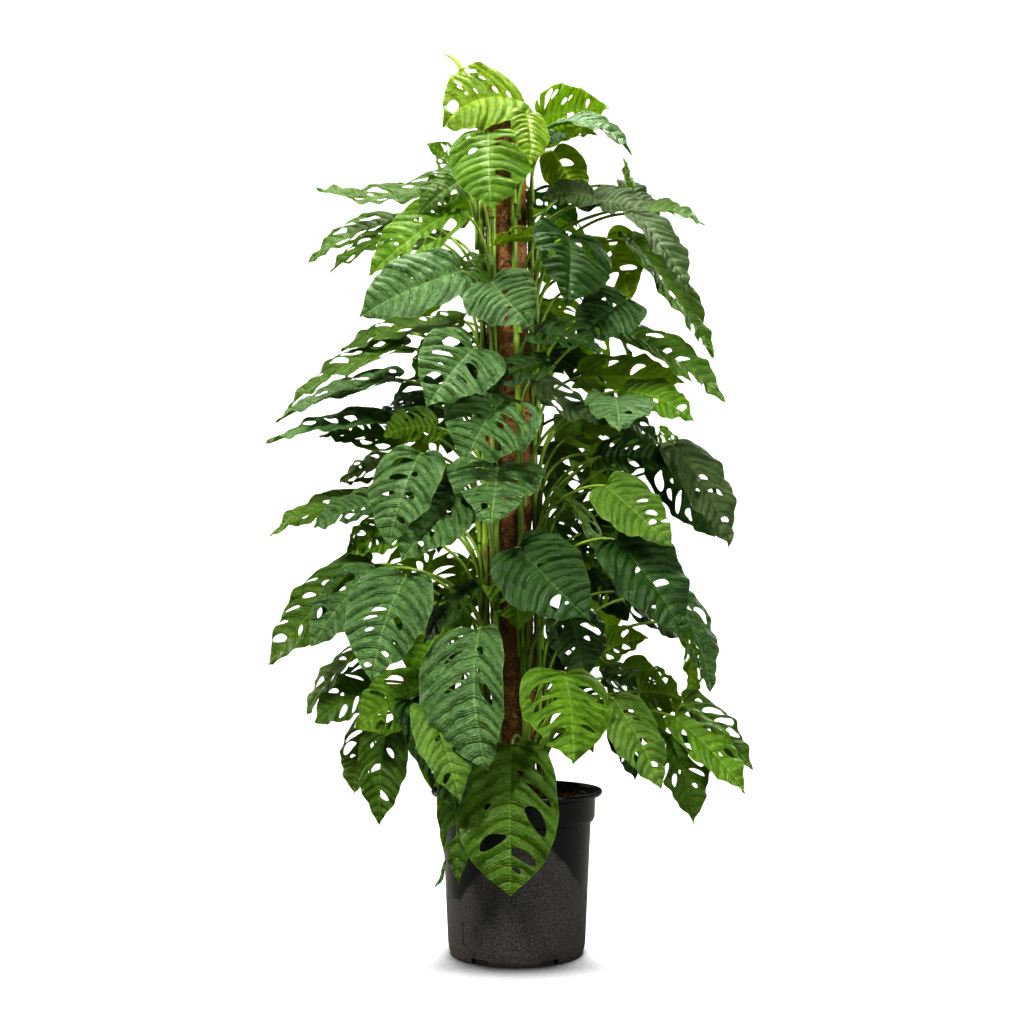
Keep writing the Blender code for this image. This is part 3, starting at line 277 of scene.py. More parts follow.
# Holes of the leaves that show best: each is its middle as (x, height) on the upright plane through the
# pot's axis, as the observer sees it, its length along the veins and its breadth, all in centimetres.
HOLES = {
    "leaf_top_06": (),
    "leaf_low_06": ((-9.9, 24.0, 1.6, 0.7), (-8.6, 27.4, 1.8, 0.9), (-11.2, 29.5, 1.6, 0.6)),
    "leaf_low_07": (),
    "leaf_low_08": ((-8.6, 16.6, 3.0, 1.3), (-9.6, 13.6, 1.6, 0.8)),
    "leaf_right_08": (
        (13.4, 101.0, 2.4, 0.9), (13.8, 99.5, 2.4, 0.6), (15.7, 97.3, 3.2, 0.8), (13.8, 95.5, 2.8, 1.6),
    ),
    "leaf_right_07": (
        (18.2, 98.7, 1.4, 1.0), (19.2, 96.6, 2.0, 0.7), (20.8, 96.2, 3.2, 0.6), (22.0, 93.0, 2.4, 0.8),
        (23.6, 90.4, 2.6, 0.8), (25.2, 88.2, 2.4, 0.8), (26.6, 86.4, 1.8, 0.7),
    ),
    "leaf_right_06": ((21.8, 99.2, 3.2, 0.9), (19.6, 98.6, 2.2, 0.5), (22.6, 95.6, 1.2, 0.4)),
    "leaf_right_05": ((23.5, 104.5, 2.6, 0.5),),
    "leaf_right_04": (),
    "leaf_right_03": (),
    "leaf_right_02": ((10.5, 106.2, 0.9, 0.35), (12.0, 105.4, 1.1, 0.4)),
    "leaf_right_01": ((5.9, 107.0, 1.3, 0.9), (6.0, 108.1, 0.6, 0.35), (6.5, 106.0, 1.4, 0.35)),
    "leaf_top_07": ((6.8, 112.9, 2.6, 1.1), (7.5, 109.9, 2.4, 0.5)),
    "leaf_top_05": ((12.5, 117.3, 2.4, 0.8), (15.0, 116.6, 0.7, 0.35)),
    "leaf_top_04": (
        (3.1, 122.7, 2.2, 0.55), (4.5, 122.4, 3.0, 0.7), (5.7, 123.0, 1.6, 0.45), (7.1, 122.0, 1.4, 0.55),
        (8.0, 122.5, 1.0, 0.45), (8.0, 120.3, 3.2, 1.1), (10.5, 121.7, 1.3, 0.45),
    ),
    "leaf_top_01": (
        (-6.0, 124.7, 1.7, 1.1), (-4.3, 123.7, 1.0, 0.3), (-7.8, 122.7, 1.3, 0.35), (-7.6, 122.2, 1.0, 0.3),
        (-8.7, 120.1, 2.2, 1.7), (-9.8, 120.6, 0.9, 0.3), (-6.6, 121.3, 0.6, 0.3), (-5.2, 121.6, 0.9, 0.35),
        (-2.4, 122.3, 1.0, 0.6), (-0.6, 122.3, 1.0, 0.6),
    ),
    "leaf_top_03": (),
    "leaf_top_02": (
        (-1.7, 116.2, 3.6, 0.8), (-2.9, 115.5, 1.4, 0.5), (-2.0, 111.1, 2.9, 1.1), (-6.3, 114.4, 1.8, 0.7),
        (-6.9, 116.4, 1.0, 0.5),
    ),
    "leaf_right_09": (
        (5.9, 100.8, 1.8, 0.7), (9.6, 100.4, 2.2, 0.65), (10.4, 98.6, 2.5, 0.9), (4.7, 101.6, 1.0, 0.5),
        (4.6, 98.8, 1.6, 0.9), (7.0, 99.0, 1.0, 0.4),
    ),
    "leaf_left_08": ((-9.2, 96.6, 1.0, 0.4), (-12.9, 95.2, 0.9, 0.5), (-15.4, 95.6, 0.9, 0.4)),
    "leaf_front_04": (
        (-1.5, 93.6, 1.7, 0.6), (-4.7, 92.3, 1.2, 0.4), (-0.5, 91.5, 1.3, 0.4), (1.0, 90.5, 1.0, 0.35),
        (-1.2, 89.7, 1.0, 0.35),
    ),
    "leaf_front_03": (
        (-9.0, 86.2, 3.4, 1.2), (-10.0, 84.3, 4.0, 0.7), (-10.5, 82.8, 1.8, 0.35), (-11.8, 80.8, 3.0, 1.7),
        (-6.4, 81.9, 2.7, 1.05), (-5.2, 84.6, 1.0, 0.35), (-7.8, 80.5, 2.0, 0.3),
    ),
    "leaf_front_06": (
        (1.0, 76.2, 3.7, 1.4), (-0.3, 74.1, 4.0, 1.15), (-1.9, 73.7, 1.6, 0.6), (-3.1, 71.3, 3.4, 1.05),
        (-5.5, 69.9, 2.0, 1.1), (-5.0, 75.0, 1.4, 0.6), (-6.7, 74.5, 1.0, 0.6), (-3.1, 76.9, 0.8, 0.5),
    ),
    "leaf_front_09": (
        (-6.3, 67.5, 4.4, 0.9), (-5.5, 65.1, 3.9, 0.9), (1.0, 68.2, 2.2, 0.5), (-0.2, 65.5, 2.4, 0.55),
        (0.3, 66.0, 1.2, 0.5), (-1.9, 63.2, 2.4, 0.3), (-4.4, 62.2, 1.2, 1.1), (-3.8, 66.6, 0.9, 0.35),
    ),
    "leaf_front_10": ((6.0, 49.0, 2.4, 1.3), (7.6, 48.9, 0.9, 0.4), (3.4, 54.1, 1.2, 0.4)),
    "leaf_front_11": (
        (-4.7, 42.0, 1.2, 0.9), (-4.6, 39.1, 0.8, 0.5), (-6.4, 38.3, 1.2, 0.8), (-3.4, 36.0, 2.6, 1.4),
        (-8.5, 41.0, 3.0, 0.5), (-7.8, 36.6, 2.6, 0.6), (-8.6, 43.6, 2.2, 0.5), (-3.6, 31.4, 1.8, 0.5),
    ),
    "leaf_low_01": (
        (2.9, 25.6, 3.7, 0.7), (0.8, 24.5, 1.5, 0.6), (3.2, 21.9, 4.2, 0.7), (2.8, 18.3, 3.9, 2.0),
        (0.5, 13.4, 4.2, 1.5), (-0.1, 11.2, 1.3, 0.7), (-3.2, 15.2, 3.6, 1.6), (-4.0, 20.0, 0.9, 0.6),
    ),
    "leaf_left_13": (
        (-19.0, 47.5, 1.8, 0.6), (-20.1, 46.3, 1.6, 0.5), (-20.1, 44.6, 1.6, 0.5), (-16.2, 45.5, 2.0, 1.0),
        (-18.3, 41.3, 1.3, 0.6), (-20.9, 39.8, 1.0, 0.6), (-16.6, 42.6, 1.6, 0.6),
    ),
    "leaf_left_14": (
        (-29.0, 51.3, 2.4, 0.6), (-26.5, 51.0, 1.5, 0.7), (-29.0, 49.2, 2.2, 0.6), (-31.3, 47.4, 2.2, 0.7),
        (-33.0, 45.5, 1.8, 0.8), (-33.3, 43.4, 2.2, 1.1), (-27.5, 46.8, 2.4, 0.9), (-24.5, 50.2, 2.6, 0.9),
        (-30.2, 44.4, 2.2, 0.8),
    ),
    "leaf_left_20": ((-13.7, 56.7, 1.5, 1.0), (-12.0, 58.3, 1.3, 0.7), (-9.6, 61.6, 1.8, 0.6)),
    "leaf_left_21": (
        (-16.3, 69.0, 2.8, 0.8), (-16.7, 66.6, 2.6, 0.7), (-14.6, 67.0, 1.4, 0.7), (-15.1, 63.8, 2.0, 0.8),
        (-18.2, 64.0, 2.2, 0.8), (-16.4, 60.3, 1.6, 0.8),
    ),
    "leaf_left_22": ((-26.3, 62.5, 3.4, 0.9), (-30.0, 60.9, 2.2, 0.8), (-23.3, 62.6, 2.4, 0.9)),
    "leaf_left_27": (
        (-26.4, 74.3, 2.8, 1.1), (-23.6, 74.7, 3.0, 1.2), (-29.5, 74.0, 2.4, 0.9), (-22.0, 72.4, 2.4, 0.9),
    ),
    "leaf_right_11": ((14.4, 91.6, 1.6, 0.7), (11.7, 87.9, 1.4, 0.6), (13.0, 92.4, 1.2, 0.5)),
    "leaf_right_13": (
        (17.2, 88.8, 1.8, 0.7), (19.5, 86.8, 2.4, 0.9), (21.3, 84.6, 2.4, 0.8), (23.3, 83.4, 3.0, 0.9),
        (25.0, 80.8, 2.2, 0.8), (27.2, 79.3, 2.0, 0.8),
    ),
    "leaf_right_14": (
        (13.4, 82.8, 2.6, 0.9), (17.3, 82.0, 3.4, 0.9), (12.2, 80.7, 2.6, 0.7), (19.6, 79.6, 1.6, 0.7),
    ),
    "leaf_right_15": ((23.4, 76.4, 2.4, 0.9), (20.0, 77.6, 2.0, 0.7)),
    "leaf_right_16": ((16.0, 75.5, 1.4, 0.7),),
    "leaf_right_20": (
        (26.3, 66.5, 2.2, 0.8), (28.0, 64.3, 2.2, 0.8), (28.4, 62.0, 1.8, 0.8), (29.6, 60.5, 1.6, 0.7),
        (27.5, 59.6, 1.4, 0.8), (25.4, 64.0, 2.0, 0.8),
    ),
    "leaf_right_22": (
        (18.2, 63.2, 1.6, 0.5), (19.5, 61.5, 1.6, 0.8), (22.3, 60.4, 2.6, 0.6), (19.7, 60.3, 1.0, 0.7),
    ),
    "leaf_right_25": (
        (19.9, 51.2, 2.6, 0.9), (21.6, 47.6, 1.6, 0.7), (19.3, 47.8, 1.8, 0.6), (17.5, 53.6, 2.2, 0.6),
    ),
    "leaf_right_32": (
        (17.5, 29.0, 1.6, 0.8), (19.2, 25.9, 1.4, 0.7), (15.6, 33.3, 1.6, 0.5), (17.0, 32.0, 1.4, 0.6),
        (16.6, 26.8, 1.8, 0.6),
    ),
    "leaf_low_03": (
        (-14.6, 30.9, 1.8, 0.8), (-14.0, 29.3, 1.4, 0.6), (-13.5, 27.6, 1.6, 0.7), (-12.4, 25.5, 1.8, 0.7),
        (-11.8, 23.0, 1.6, 0.7), (-11.9, 29.4, 2.0, 0.6),
    ),
    "leaf_low_04": (
        (-19.5, 25.5, 2.6, 0.8), (-19.1, 21.8, 2.6, 1.1), (-17.6, 27.6, 1.8, 0.7), (-20.3, 28.6, 1.6, 0.6),
    ),
}

# Plans of a blade: half of its outline from the joint to the tip, as shares of its length and of its width,
# for a heart-shaped, an ovate and an oblong leaf. The form of a leaf runs from -1 to 1 through the three.
HEART = (
    (0.0, 0.0), (-0.030, 0.022), (-0.105, 0.080), (-0.165, 0.155), (-0.190, 0.240), (-0.172, 0.330),
    (-0.105, 0.412), (0.0, 0.470), (0.120, 0.498), (0.250, 0.496), (0.385, 0.460), (0.515, 0.398),
    (0.645, 0.310), (0.760, 0.220), (0.855, 0.134), (0.925, 0.066), (0.965, 0.028), (1.0, 0.0),
)
OVATE = (
    (0.0, 0.0), (-0.010, 0.035), (-0.040, 0.095), (-0.062, 0.160), (-0.068, 0.230), (-0.052, 0.300),
    (-0.012, 0.367), (0.055, 0.428), (0.150, 0.475), (0.265, 0.499), (0.390, 0.497), (0.520, 0.460),
    (0.650, 0.385), (0.765, 0.280), (0.860, 0.168), (0.925, 0.084), (0.965, 0.034), (1.0, 0.0),
)
OBLONG = (
    (0.0, 0.0), (-0.006, 0.045), (-0.020, 0.105), (-0.026, 0.165), (-0.020, 0.225), (0.0, 0.290),
    (0.042, 0.350), (0.108, 0.410), (0.200, 0.460), (0.320, 0.490), (0.450, 0.499), (0.580, 0.475),
    (0.700, 0.412), (0.805, 0.312), (0.885, 0.198), (0.940, 0.102), (0.973, 0.042), (1.0, 0.0),
)
FORMS = {
    "leaf_top_03": 0.0, "leaf_top_04": -0.9, "leaf_top_05": 0.5, "leaf_top_07": 0.4,
    "leaf_right_02": 0.6, "leaf_right_08": -0.4, "leaf_right_09": -0.4, "leaf_top_01": 1.0,
    "leaf_top_02": 0.4, "leaf_front_03": -0.5, "leaf_front_04": -0.2, "leaf_front_06": 0.2,
    "leaf_front_09": -1.0, "leaf_front_10": 0.0, "leaf_front_11": 0.8, "leaf_low_01": 1.0,
    "leaf_left_13": 0.2, "leaf_left_14": 0.3,
}
# How much wider the left half of a leaf is than the right one, for leaves that show it.
SKEWS = {"leaf_front_11": 0.30}
FORM_SPREAD = (-0.35, 0.75)
EDGE_WAVE = 0.014
OUTLINE_STEPS = 5
# Side veins: how far they sweep towards the tip (share of the length, by share of the half width and its
# square), their spacing along the midrib, and the turn from one to the next round the base lobe.
SWEEP = (0.06, 0.20)
VEIN_STEP = 0.10
VEIN_FIRST = -4.2
VEIN_LAST = 9.8
LOBE_TURN = math.radians(24)
PLAN_STEPS = 60
PLAN_REACH = 1.25
# Lines of points between two side veins, and their places from the midrib to the margin.
FINE_LINES = (0.0, 0.12, 0.30, 0.50, 0.70, 0.88)
FINE_REACHES = (0.06, 0.13, 0.21, 0.30, 0.39, 0.48, 0.57, 0.66, 0.75, 0.84, 0.93)
PLAIN_LINES = (0.0, 0.33, 0.67)
PLAIN_REACHES = (0.08, 0.20, 0.34, 0.48, 0.62, 0.76, 0.90)
MIDRIB_POINTS = 36
MIDRIB_SIDE = 0.10
POINT_CLEARANCE = 0.13
# Share of the spaces between veins that stay closed, for some tones and for the rest.
CLOSED = {"dusty": 0.70, "pale": 0.35, "sheen": 0.30}
CLOSED_SHARE = 0.12
# Holes that grow between the side veins: the limits of the first vein, the last vein, and the limits of the
# steps and sizes. A draw below a kind's limit takes that kind. Each of its holes has a reach, a length as a
# share of the room from the midrib to the margin, whether that varies, and a breadth as a share of a broad
# hole's. Only small ones grow round the base lobe.
GROWN_FIRST = (-1.6, 0.2)
GROWN_LAST = 6.6
GROWN_STEP = (1.25, 2.05)
GROWN_SIZE = (0.82, 1.18)
BROAD = (0.80, 1.30)
BROAD_LIMIT = 0.42
LOBE_KINDS = ((0.40, ((0.58, 0.30, True, 0.6),)),)
GROWN_KINDS = (
    (0.46, ((0.56, 0.54, True, 1.0),)),
    (0.70, ((0.54, 0.62, True, 0.62),)),
    (0.80, ((0.22, 0.15, False, 0.42), (0.64, 0.38, True, 0.85))),
    (0.90, ((0.36, 0.26, True, 0.5),)),
    (0.95, ((0.80, 0.62, False, 0.6),)),
)
HOLE_STEPS = 20
HOLE_TAPER = 0.42
HOLE_WOBBLE = 0.10

# Relief of a blade. Lengths are in centimetres, or shares of its width where they say so.
BLADE_THICKNESS = 0.06
RIB_DEPTH = 0.12
RIB_WIDTH = 0.14
SIDE_RIB_DEPTH = 0.03
SIDE_RIB_WIDTH = 0.09
QUILT = 0.036
GROOVE = 0.07
GROOVE_WIDTH = 0.22
LUMPS = 0.13
LUMP_WAVES = 5
LUMP_LENGTHS = (2.2, 5.5)
WAVE = 0.036
TWIST = 9.0
SKEW = 0.09


def lerp(start, end, share):
    return start + (end - start) * share


def circle(steps):
    """Headings all the way round, in equal steps."""
    return [math.tau * i / steps for i in range(steps)]


def compass(heading):
    """Level unit vector at a heading."""
    return Vector((math.cos(heading), math.sin(heading), 0.0))


def seen(x, height, depth):
    """Point at a depth, on the line of sight through (x, height) of the upright plane; all in centimetres."""
    on_plane = Vector((x * CM, 0.0, height * CM))
    return OBSERVER + (on_plane - OBSERVER) * ((depth * CM - OBSERVER.y) / -OBSERVER.y)


def pole_middle(z):
    return POLE_FOOT.lerp(POLE_HEAD, (z - POLE_FOOT.z) / (POLE_HEAD.z - POLE_FOOT.z))


def pole_radius(z):
    return POLE_RADIUS + POLE_BULGE * math.exp(-(((z - POLE_BULGE_HEIGHT) / POLE_BULGE_SPREAD) ** 2))


def by_pole(heading, z, away):
    """Place at a distance from the middle of the pole."""
    return pole_middle(z) + compass(heading) * away


def stem_points(stem):
    """Points of the stem from the peat upwards, each with the stem's radius there."""
    foot = SOIL_TOP + GAP
    count = math.ceil((stem.top - foot) / STEM_STEP)
    points = []
    for i in range(count + 1):
        z = lerp(foot, stem.top, i / count)
        heading = math.radians(lerp(stem.heading, stem.heading_top, i / count))
        radius = lerp(STEM_RADIUS, STEM_RADIUS_TOP, i / count)
        points.append((by_pole(heading, z, pole_radius(z) + radius + GAP), radius))
    return points


def stem_at(points, z):
    """Middle, direction and radius of a stem at a height."""
    for (low, radius_low), (high, radius_high) in zip(points, points[1:]):
        if z <= high.z:
            break
    share = (z - low.z) / (high.z - low.z)
    return low.lerp(high, share), (high - low).normalized(), lerp(radius_low, radius_high, share)


class Blade:
    """Place and shape of a blade, pushed away from the observer by some centimetres."""

    def __init__(self, leaf, push):
        x, z, depth = leaf.base
        self.leaf = leaf
        self.base = seen(x, z, depth + push)
        x, z, depth = leaf.tip
        self.tip = seen(x, z, depth + push)
        self.length = (self.tip - self.base).length
        self.width = leaf.width * CM
        self.axis = (self.tip - self.base).normalized()
        to_observer = (OBSERVER - self.base).normalized()
        facing = (to_observer - self.axis * to_observer.dot(self.axis)).normalized()
        edge = self.axis.cross(facing)
        outward = Vector((self.base.x, self.base.y, 0.0)).normalized()
        if 2.0 * edge.z + edge.dot(outward) < 0.0:
            edge = -edge
        turn = math.radians(leaf.turn)
        self.normal = facing * math.sin(turn) + edge * math.cos(turn)
        self.side = self.axis.cross(self.normal)
        self.fold = math.radians(leaf.fold)

    def point(self, along, across):
        """Point of the blade's middle surface: shares of its length and of its width."""
        bow = 4.0 * along * (1.0 - along)
        out = abs(across) * self.width
        crown = BLADE_CROWN * self.width * (2.0 * across) ** 2
        lift = self.leaf.arch * CM * bow + out * math.sin(self.fold) - crown
        shift = across * self.width * math.cos(self.fold) + self.leaf.bend * CM * bow
        return self.base + self.axis * (along * self.length) + self.normal * lift + self.side * shift

    def sections(self, pad):
        """Rings of eight points: left margin, three above, right margin, three below."""
        rings = []
        for middle, margin, half in BLADE_SECTIONS:
            half += pad / self.width
            above = []
            below = []
            for share in (-0.5, 0.0, 0.5):
                rise = (BLADE_QUARTER_THICKNESS if share else BLADE_HALF_THICKNESS) + pad
                if middle == 1.0:
                    rise *= BLADE_TIP_SHARE
                place = self.point(lerp(middle, margin, abs(share)), share * half)
                above.append(place + self.normal * rise)
                below.append(place - self.normal * rise)
            left = self.point(margin, -half)
            right = self.point(margin, half)
            rings.append([left, *above, right, *reversed(below)])
        return rings


def round_ring(middle, side, top, radius):
    """Eight points round a tube, in the order of a blade's section."""
    turns = [math.pi - i * math.tau / RING for i in range(RING)]
    return [middle + side * (math.cos(a) * radius) + top * (math.sin(a) * radius) for a in turns]


def petiole_course(blade, start, up, count):
    """End of a petiole's sheath, and the curve of so many points from there to the joint of the blade."""
    sheath = start + up * PETIOLE_SHEATH
    reach = (blade.base - sheath).length
    rise = sheath + up * (PETIOLE_RISE * reach)
    into = ((blade.base - rise).normalized() + blade.axis * PETIOLE_INTO_BLADE).normalized()
    settle = blade.base - into * (PETIOLE_SETTLE * reach)
    return sheath, interpolate_bezier(sheath, rise, settle, blade.base, count)


def petiole_sections(blade, start, up, pad):
    """Rings of a petiole from its seat on the stem to the joint of the blade; pad widens all but its seat."""
    count = PETIOLE_CURVE_STEPS
    sheath, curve = petiole_course(blade, start, up, count + 1)
    stations = [(start, up, 0.0), (sheath, up, PETIOLE_SHEATH_STATION)]
    for share in PETIOLE_STATIONS:
        i = round(share * count)
        stations.append((curve[i], (curve[i + 1] - curve[i - 1]).normalized(), share))
    joint = (curve[count] - curve[count - 1]).normalized()
    stations.append((blade.base, (joint + blade.axis).normalized(), 1.0))
    rings = []
    side, top, tangent = blade.side, blade.normal, blade.axis
    for middle, direction, share in reversed(stations):
        turn = tangent.rotation_difference(direction)
        side, top, tangent = turn @ side, turn @ top, direction
        radius = lerp(PETIOLE_RADIUS, PETIOLE_RADIUS_END, share)
        rings.append(round_ring(middle, side, top, radius + (pad if share > PETIOLE_SHEATH_STATION else 0.0)))
    rings.reverse()
    return rings


def ring_faces(count, size):
    """Faces between a number of rings of vertices, each to the next."""
    faces = []
    for low in range(0, (count - 1) * size, size):
        for j in range(size):
            k = (j + 1) % size
            faces.append((low + j, low + k, low + size + k, low + size + j))
    return faces


def loft(rings):
    """Vertices and faces of the closed solid through the rings."""
    size = len(rings[0])
    verts = [p for ring in rings for p in ring]
    faces = ring_faces(len(rings), size)
    faces.append(tuple(range(size)))
    faces.append(tuple(reversed(range(len(verts) - size, len(verts)))))
    return verts, faces


def turned(profile, steps):
    """Vertices and faces of the surface that a profile of (radius, height) sweeps round the Z axis."""
    rings = []
    for radius, z in profile:
        rings.append([Vector((radius * math.cos(a), radius * math.sin(a), z)) for a in circle(steps)])
    return loft(rings)


class Obstacle:
    """A solid that is already in its place."""

    def __init__(self, verts, faces):
        self.tree = BVHTree.FromPolygons(verts, faces)
        self.low = [min(v[i] for v in verts) for i in range(3)]
        self.high = [max(v[i] for v in verts) for i in range(3)]

    def meets(self, other):
        apart = any(self.low[i] > other.high[i] or other.low[i] > self.high[i] for i in range(3))
        return not apart and bool(self.tree.overlap(other.tree))


def pot_obstacles():
    """The outside of the pot and the peat in it, for leaves to stay clear of."""
    peat = ((POT_INNER[5][0], SOIL_TOP), (POT_INNER[5][0], POT_INNER[5][1]))
    return [Obstacle(*turned(POT_OUTER, POT_STEPS)), Obstacle(*turned(peat, POT_STEPS))]


def tube_obstacle(points):
    """A round tube through points with their own radii, for leaves to stay clear of."""
    rings = []
    for i, (place, radius) in enumerate(points):
        before = points[max(i - 1, 0)][0]
        after = points[min(i + 1, len(points) - 1)][0]
        along = (after - before).normalized()
        side = along.cross(Vector((0.0, 1.0, 0.0))).normalized()
        rings.append(round_ring(place, side, along.cross(side), radius))
    return Obstacle(*loft(rings))


def petiole_seats(blade, stems):
    """Seats for a petiole on the stems, the nearest stem and the plain height first."""
    base = blade.base
    away = math.hypot(base.x, base.y)
    height = base.z - PETIOLE_DROP - PETIOLE_SLOPE * away
    near = sorted(stems, key=lambda points: (stem_at(points, min(base.z, points[-1][0].z))[0] - base).length)
    for points in near[:STEMS_TRIED]:
        for lift in LIFTS:
            z = max(height + lift * CM, points[0][0].z + STEM_FOOT_CLEAR)
            z = min(z, points[-1][0].z - STEM_TOP_CLEAR)
            middle, up, radius = stem_at(points, z)
            outward = middle - pole_middle(z)
            toward = base - middle
            plain = math.atan2(outward.y, outward.x)
            turn = math.degrees(math.remainder(math.atan2(toward.y, toward.x) - plain, math.tau))
            for swing in SWINGS:
                limited = min(max(turn + swing, -PETIOLE_REACH), PETIOLE_REACH)
                heading = plain + math.radians(limited)
                yield middle + compass(heading) * (radius + PETIOLE_RADIUS + PETIOLE_SEAT), up


def settle_leaf(leaf, stems, fixed, placed):
    """First blade of the leaf and seat of its petiole that are clear of what is in place, or None."""
    for push in PUSHES:
        blade = Blade(leaf, push)
        padded = Obstacle(*loft(blade.sections(BLADE_CLEARANCE)))
        if any(padded.meets(other) for other in fixed + placed):
            continue
        for start, up in petiole_seats(blade, stems):
            plain = Obstacle(*loft(petiole_sections(blade, start, up, 0.0)))
            if any(plain.meets(other) for other in fixed):
                continue
            padded = Obstacle(*loft(petiole_sections(blade, start, up, PETIOLE_CLEARANCE)))
            if not any(padded.meets(other) for other in placed):
                return blade, start, up
    return None


def pole_obstacle():
    """The pole, for leaves to stay clear of."""
    turns = circle(POLE_STEPS)
    return Obstacle(*loft([[by_pole(a, z, pole_radius(z)) for a in turns] for z in POLE_LEVELS]))


def smoothstep(low, high, value):
    share = np.clip((value - low) / (high - low), 0.0, 1.0)
    return share * share * (3.0 - 2.0 * share)


def curve_through(points, steps):
    """Smooth curve through points, with a number of steps from each to the next."""
    points = np.array(points, float)
    padded = np.vstack([2.0 * points[0] - points[1], points, 2.0 * points[-1] - points[-2]])
    found = []
    for i in range(len(points) - 1):
        a, b, c, d = padded[i : i + 4]
        for k in range(steps):
            t = k / steps
            bend = (2.0 * a - 5.0 * b + 4.0 * c - d) * t * t + (3.0 * b - a - 3.0 * c + d) * t**3
            found.append(0.5 * (2.0 * b + (c - a) * t + bend))
    found.append(points[-1])
    return np.array(found)


def inside(points, ring):
    """Which of the points lie inside a closed ring."""
    x, y = points[:, 0, None], points[:, 1, None]
    x0, y0 = ring[:, 0], ring[:, 1]
    x1, y1 = np.roll(x0, -1), np.roll(y0, -1)
    crossed = (y0 > y) != (y1 > y)
    rise = np.where(y1 == y0, 1.0, y1 - y0)
    return (crossed & (x < x0 + (y - y0) * (x1 - x0) / rise)).sum(axis=1) % 2 == 1


class Plan:
    """Flat plan of one half of a blade, in centimetres: x along the midrib, y away from it.

    A place is also given as its vein, which counts the side veins from the joint to the tip and goes below 0
    round the base lobe, and its reach, the share of the way from the midrib to the margin."""

    def __init__(self, length, half, form, draw):
        self.length = length
        self.half = half
        ends = (OVATE, HEART) if form < 0.0 else (OVATE, OBLONG)
        outline = np.array(ends[0]) * (1.0 - abs(form)) + np.array(ends[1]) * abs(form)
        outline = curve_through(outline, OUTLINE_STEPS)
        steps = np.linspace(0.0, 1.0, len(outline))
        ripple = sum(np.sin(k * math.tau * steps + draw.uniform(0.0, math.tau)) / k for k in (2, 3, 5, 8))
        outline[:, 1] *= 1.0 + EDGE_WAVE * ripple
        self.outline = outline * (length, 2.0 * half)
        self.veins = np.arange(VEIN_FIRST, VEIN_LAST, 0.1)
        self.outs = np.linspace(0.0, PLAN_REACH, PLAN_STEPS + 1)
        grid = self.curve(self.veins[:, None], self.outs[None, 1:])
        within = inside(grid.reshape(-1, 2), self.outline).reshape(grid.shape[:2])
        within[:, 0] = True
        within[:, -1] = False
        self.margins = self.outs[1:][np.argmin(within, axis=1)] - 0.5 * PLAN_REACH / PLAN_STEPS

    def curve(self, vein, out):
        """Places on side veins, by their share of the half width."""
        x = (SWEEP[0] * out + SWEEP[1] * out * out) * self.length
        y = out * self.half
        turn = np.maximum(-vein, 0.0) * LOBE_TURN
        x, y = x * np.cos(turn) - y * np.sin(turn), x * np.sin(turn) + y * np.cos(turn)
        return np.stack(np.broadcast_arrays(x + np.maximum(vein, 0.0) * VEIN_STEP * self.length, y), axis=-1)

    def margin(self, vein):
        return np.interp(vein, self.veins, self.margins)

    def read(self, points):
        """Vein and reach of places."""
        x, y = points[:, 0], np.abs(points[:, 1])
        out = y / self.half
        vein = (x / self.length - SWEEP[0] * out - SWEEP[1] * out * out) / VEIN_STEP
        first = self.curve(0.0, self.outs)
        lobe_out = np.interp(np.hypot(x, y), np.hypot(first[:, 0], first[:, 1]), self.outs)
        start = self.curve(0.0, lobe_out)
        turn = np.arctan2(y, x) - np.arctan2(start[:, 1], start[:, 0])
        behind = vein < 0.0
        vein = np.where(behind, -np.maximum(turn, 0.0) / LOBE_TURN, vein)
        out = np.where(behind, lobe_out, out)
        return vein, np.minimum(out / self.margin(vein), 1.0)

    def hole(self, vein, reach, length, breadth, draw):
        """Ring of a hole that lies along the veins and is wider at its outer end."""
        out = reach * self.margin(vein)
        step = 0.01
        along = (self.curve(vein, out + step) - self.curve(vein, out - step)) / (2.0 * step)
        across = (self.curve(vein + step, out) - self.curve(vein - step, out)) / (2.0 * step)
        pace = math.hypot(*along)
        spread = max(abs(along[0] * across[1] - along[1] * across[0]) / pace, 0.2)
        angles = np.arange(HOLE_STEPS) * math.tau / HOLE_STEPS
        size = 1.0 + HOLE_WOBBLE * np.sin(2.0 * angles + draw.uniform(0.0, math.tau))
        outs = out + 0.5 * length / pace * np.cos(angles) * size
        veins = vein + 0.5 * breadth / spread * np.sin(angles) * size * (1.0 + HOLE_TAPER * np.cos(angles))
        return self.curve(veins, np.maximum(outs, 0.03))

    def grown_holes(self, closed, draw):
        """Holes as they grow between the side veins: broad ones, slots, pairs and small ones."""
        rings = []
        vein = draw.uniform(*GROWN_FIRST)
        while vein < GROWN_LAST:
            room = math.hypot(*(self.curve(vein, self.margin(vein)) - self.curve(vein, 0.0)))
            kind = draw.random()
            size = draw.uniform(*GROWN_SIZE)
            broad = min(VEIN_STEP * self.length * draw.uniform(*BROAD), BROAD_LIMIT * room)
            if draw.random() < closed:
                kind = 1.0
            kinds = LOBE_KINDS if vein < 0.0 else GROWN_KINDS
            for reach, long, varies, wide in next((holes for limit, holes in kinds if kind < limit), ()):
                length = long * room * (size if varies else 1.0)
                rings.append(self.hole(vein, reach, length, wide * broad, draw))
            vein += draw.uniform(*GROWN_STEP)
        return rings


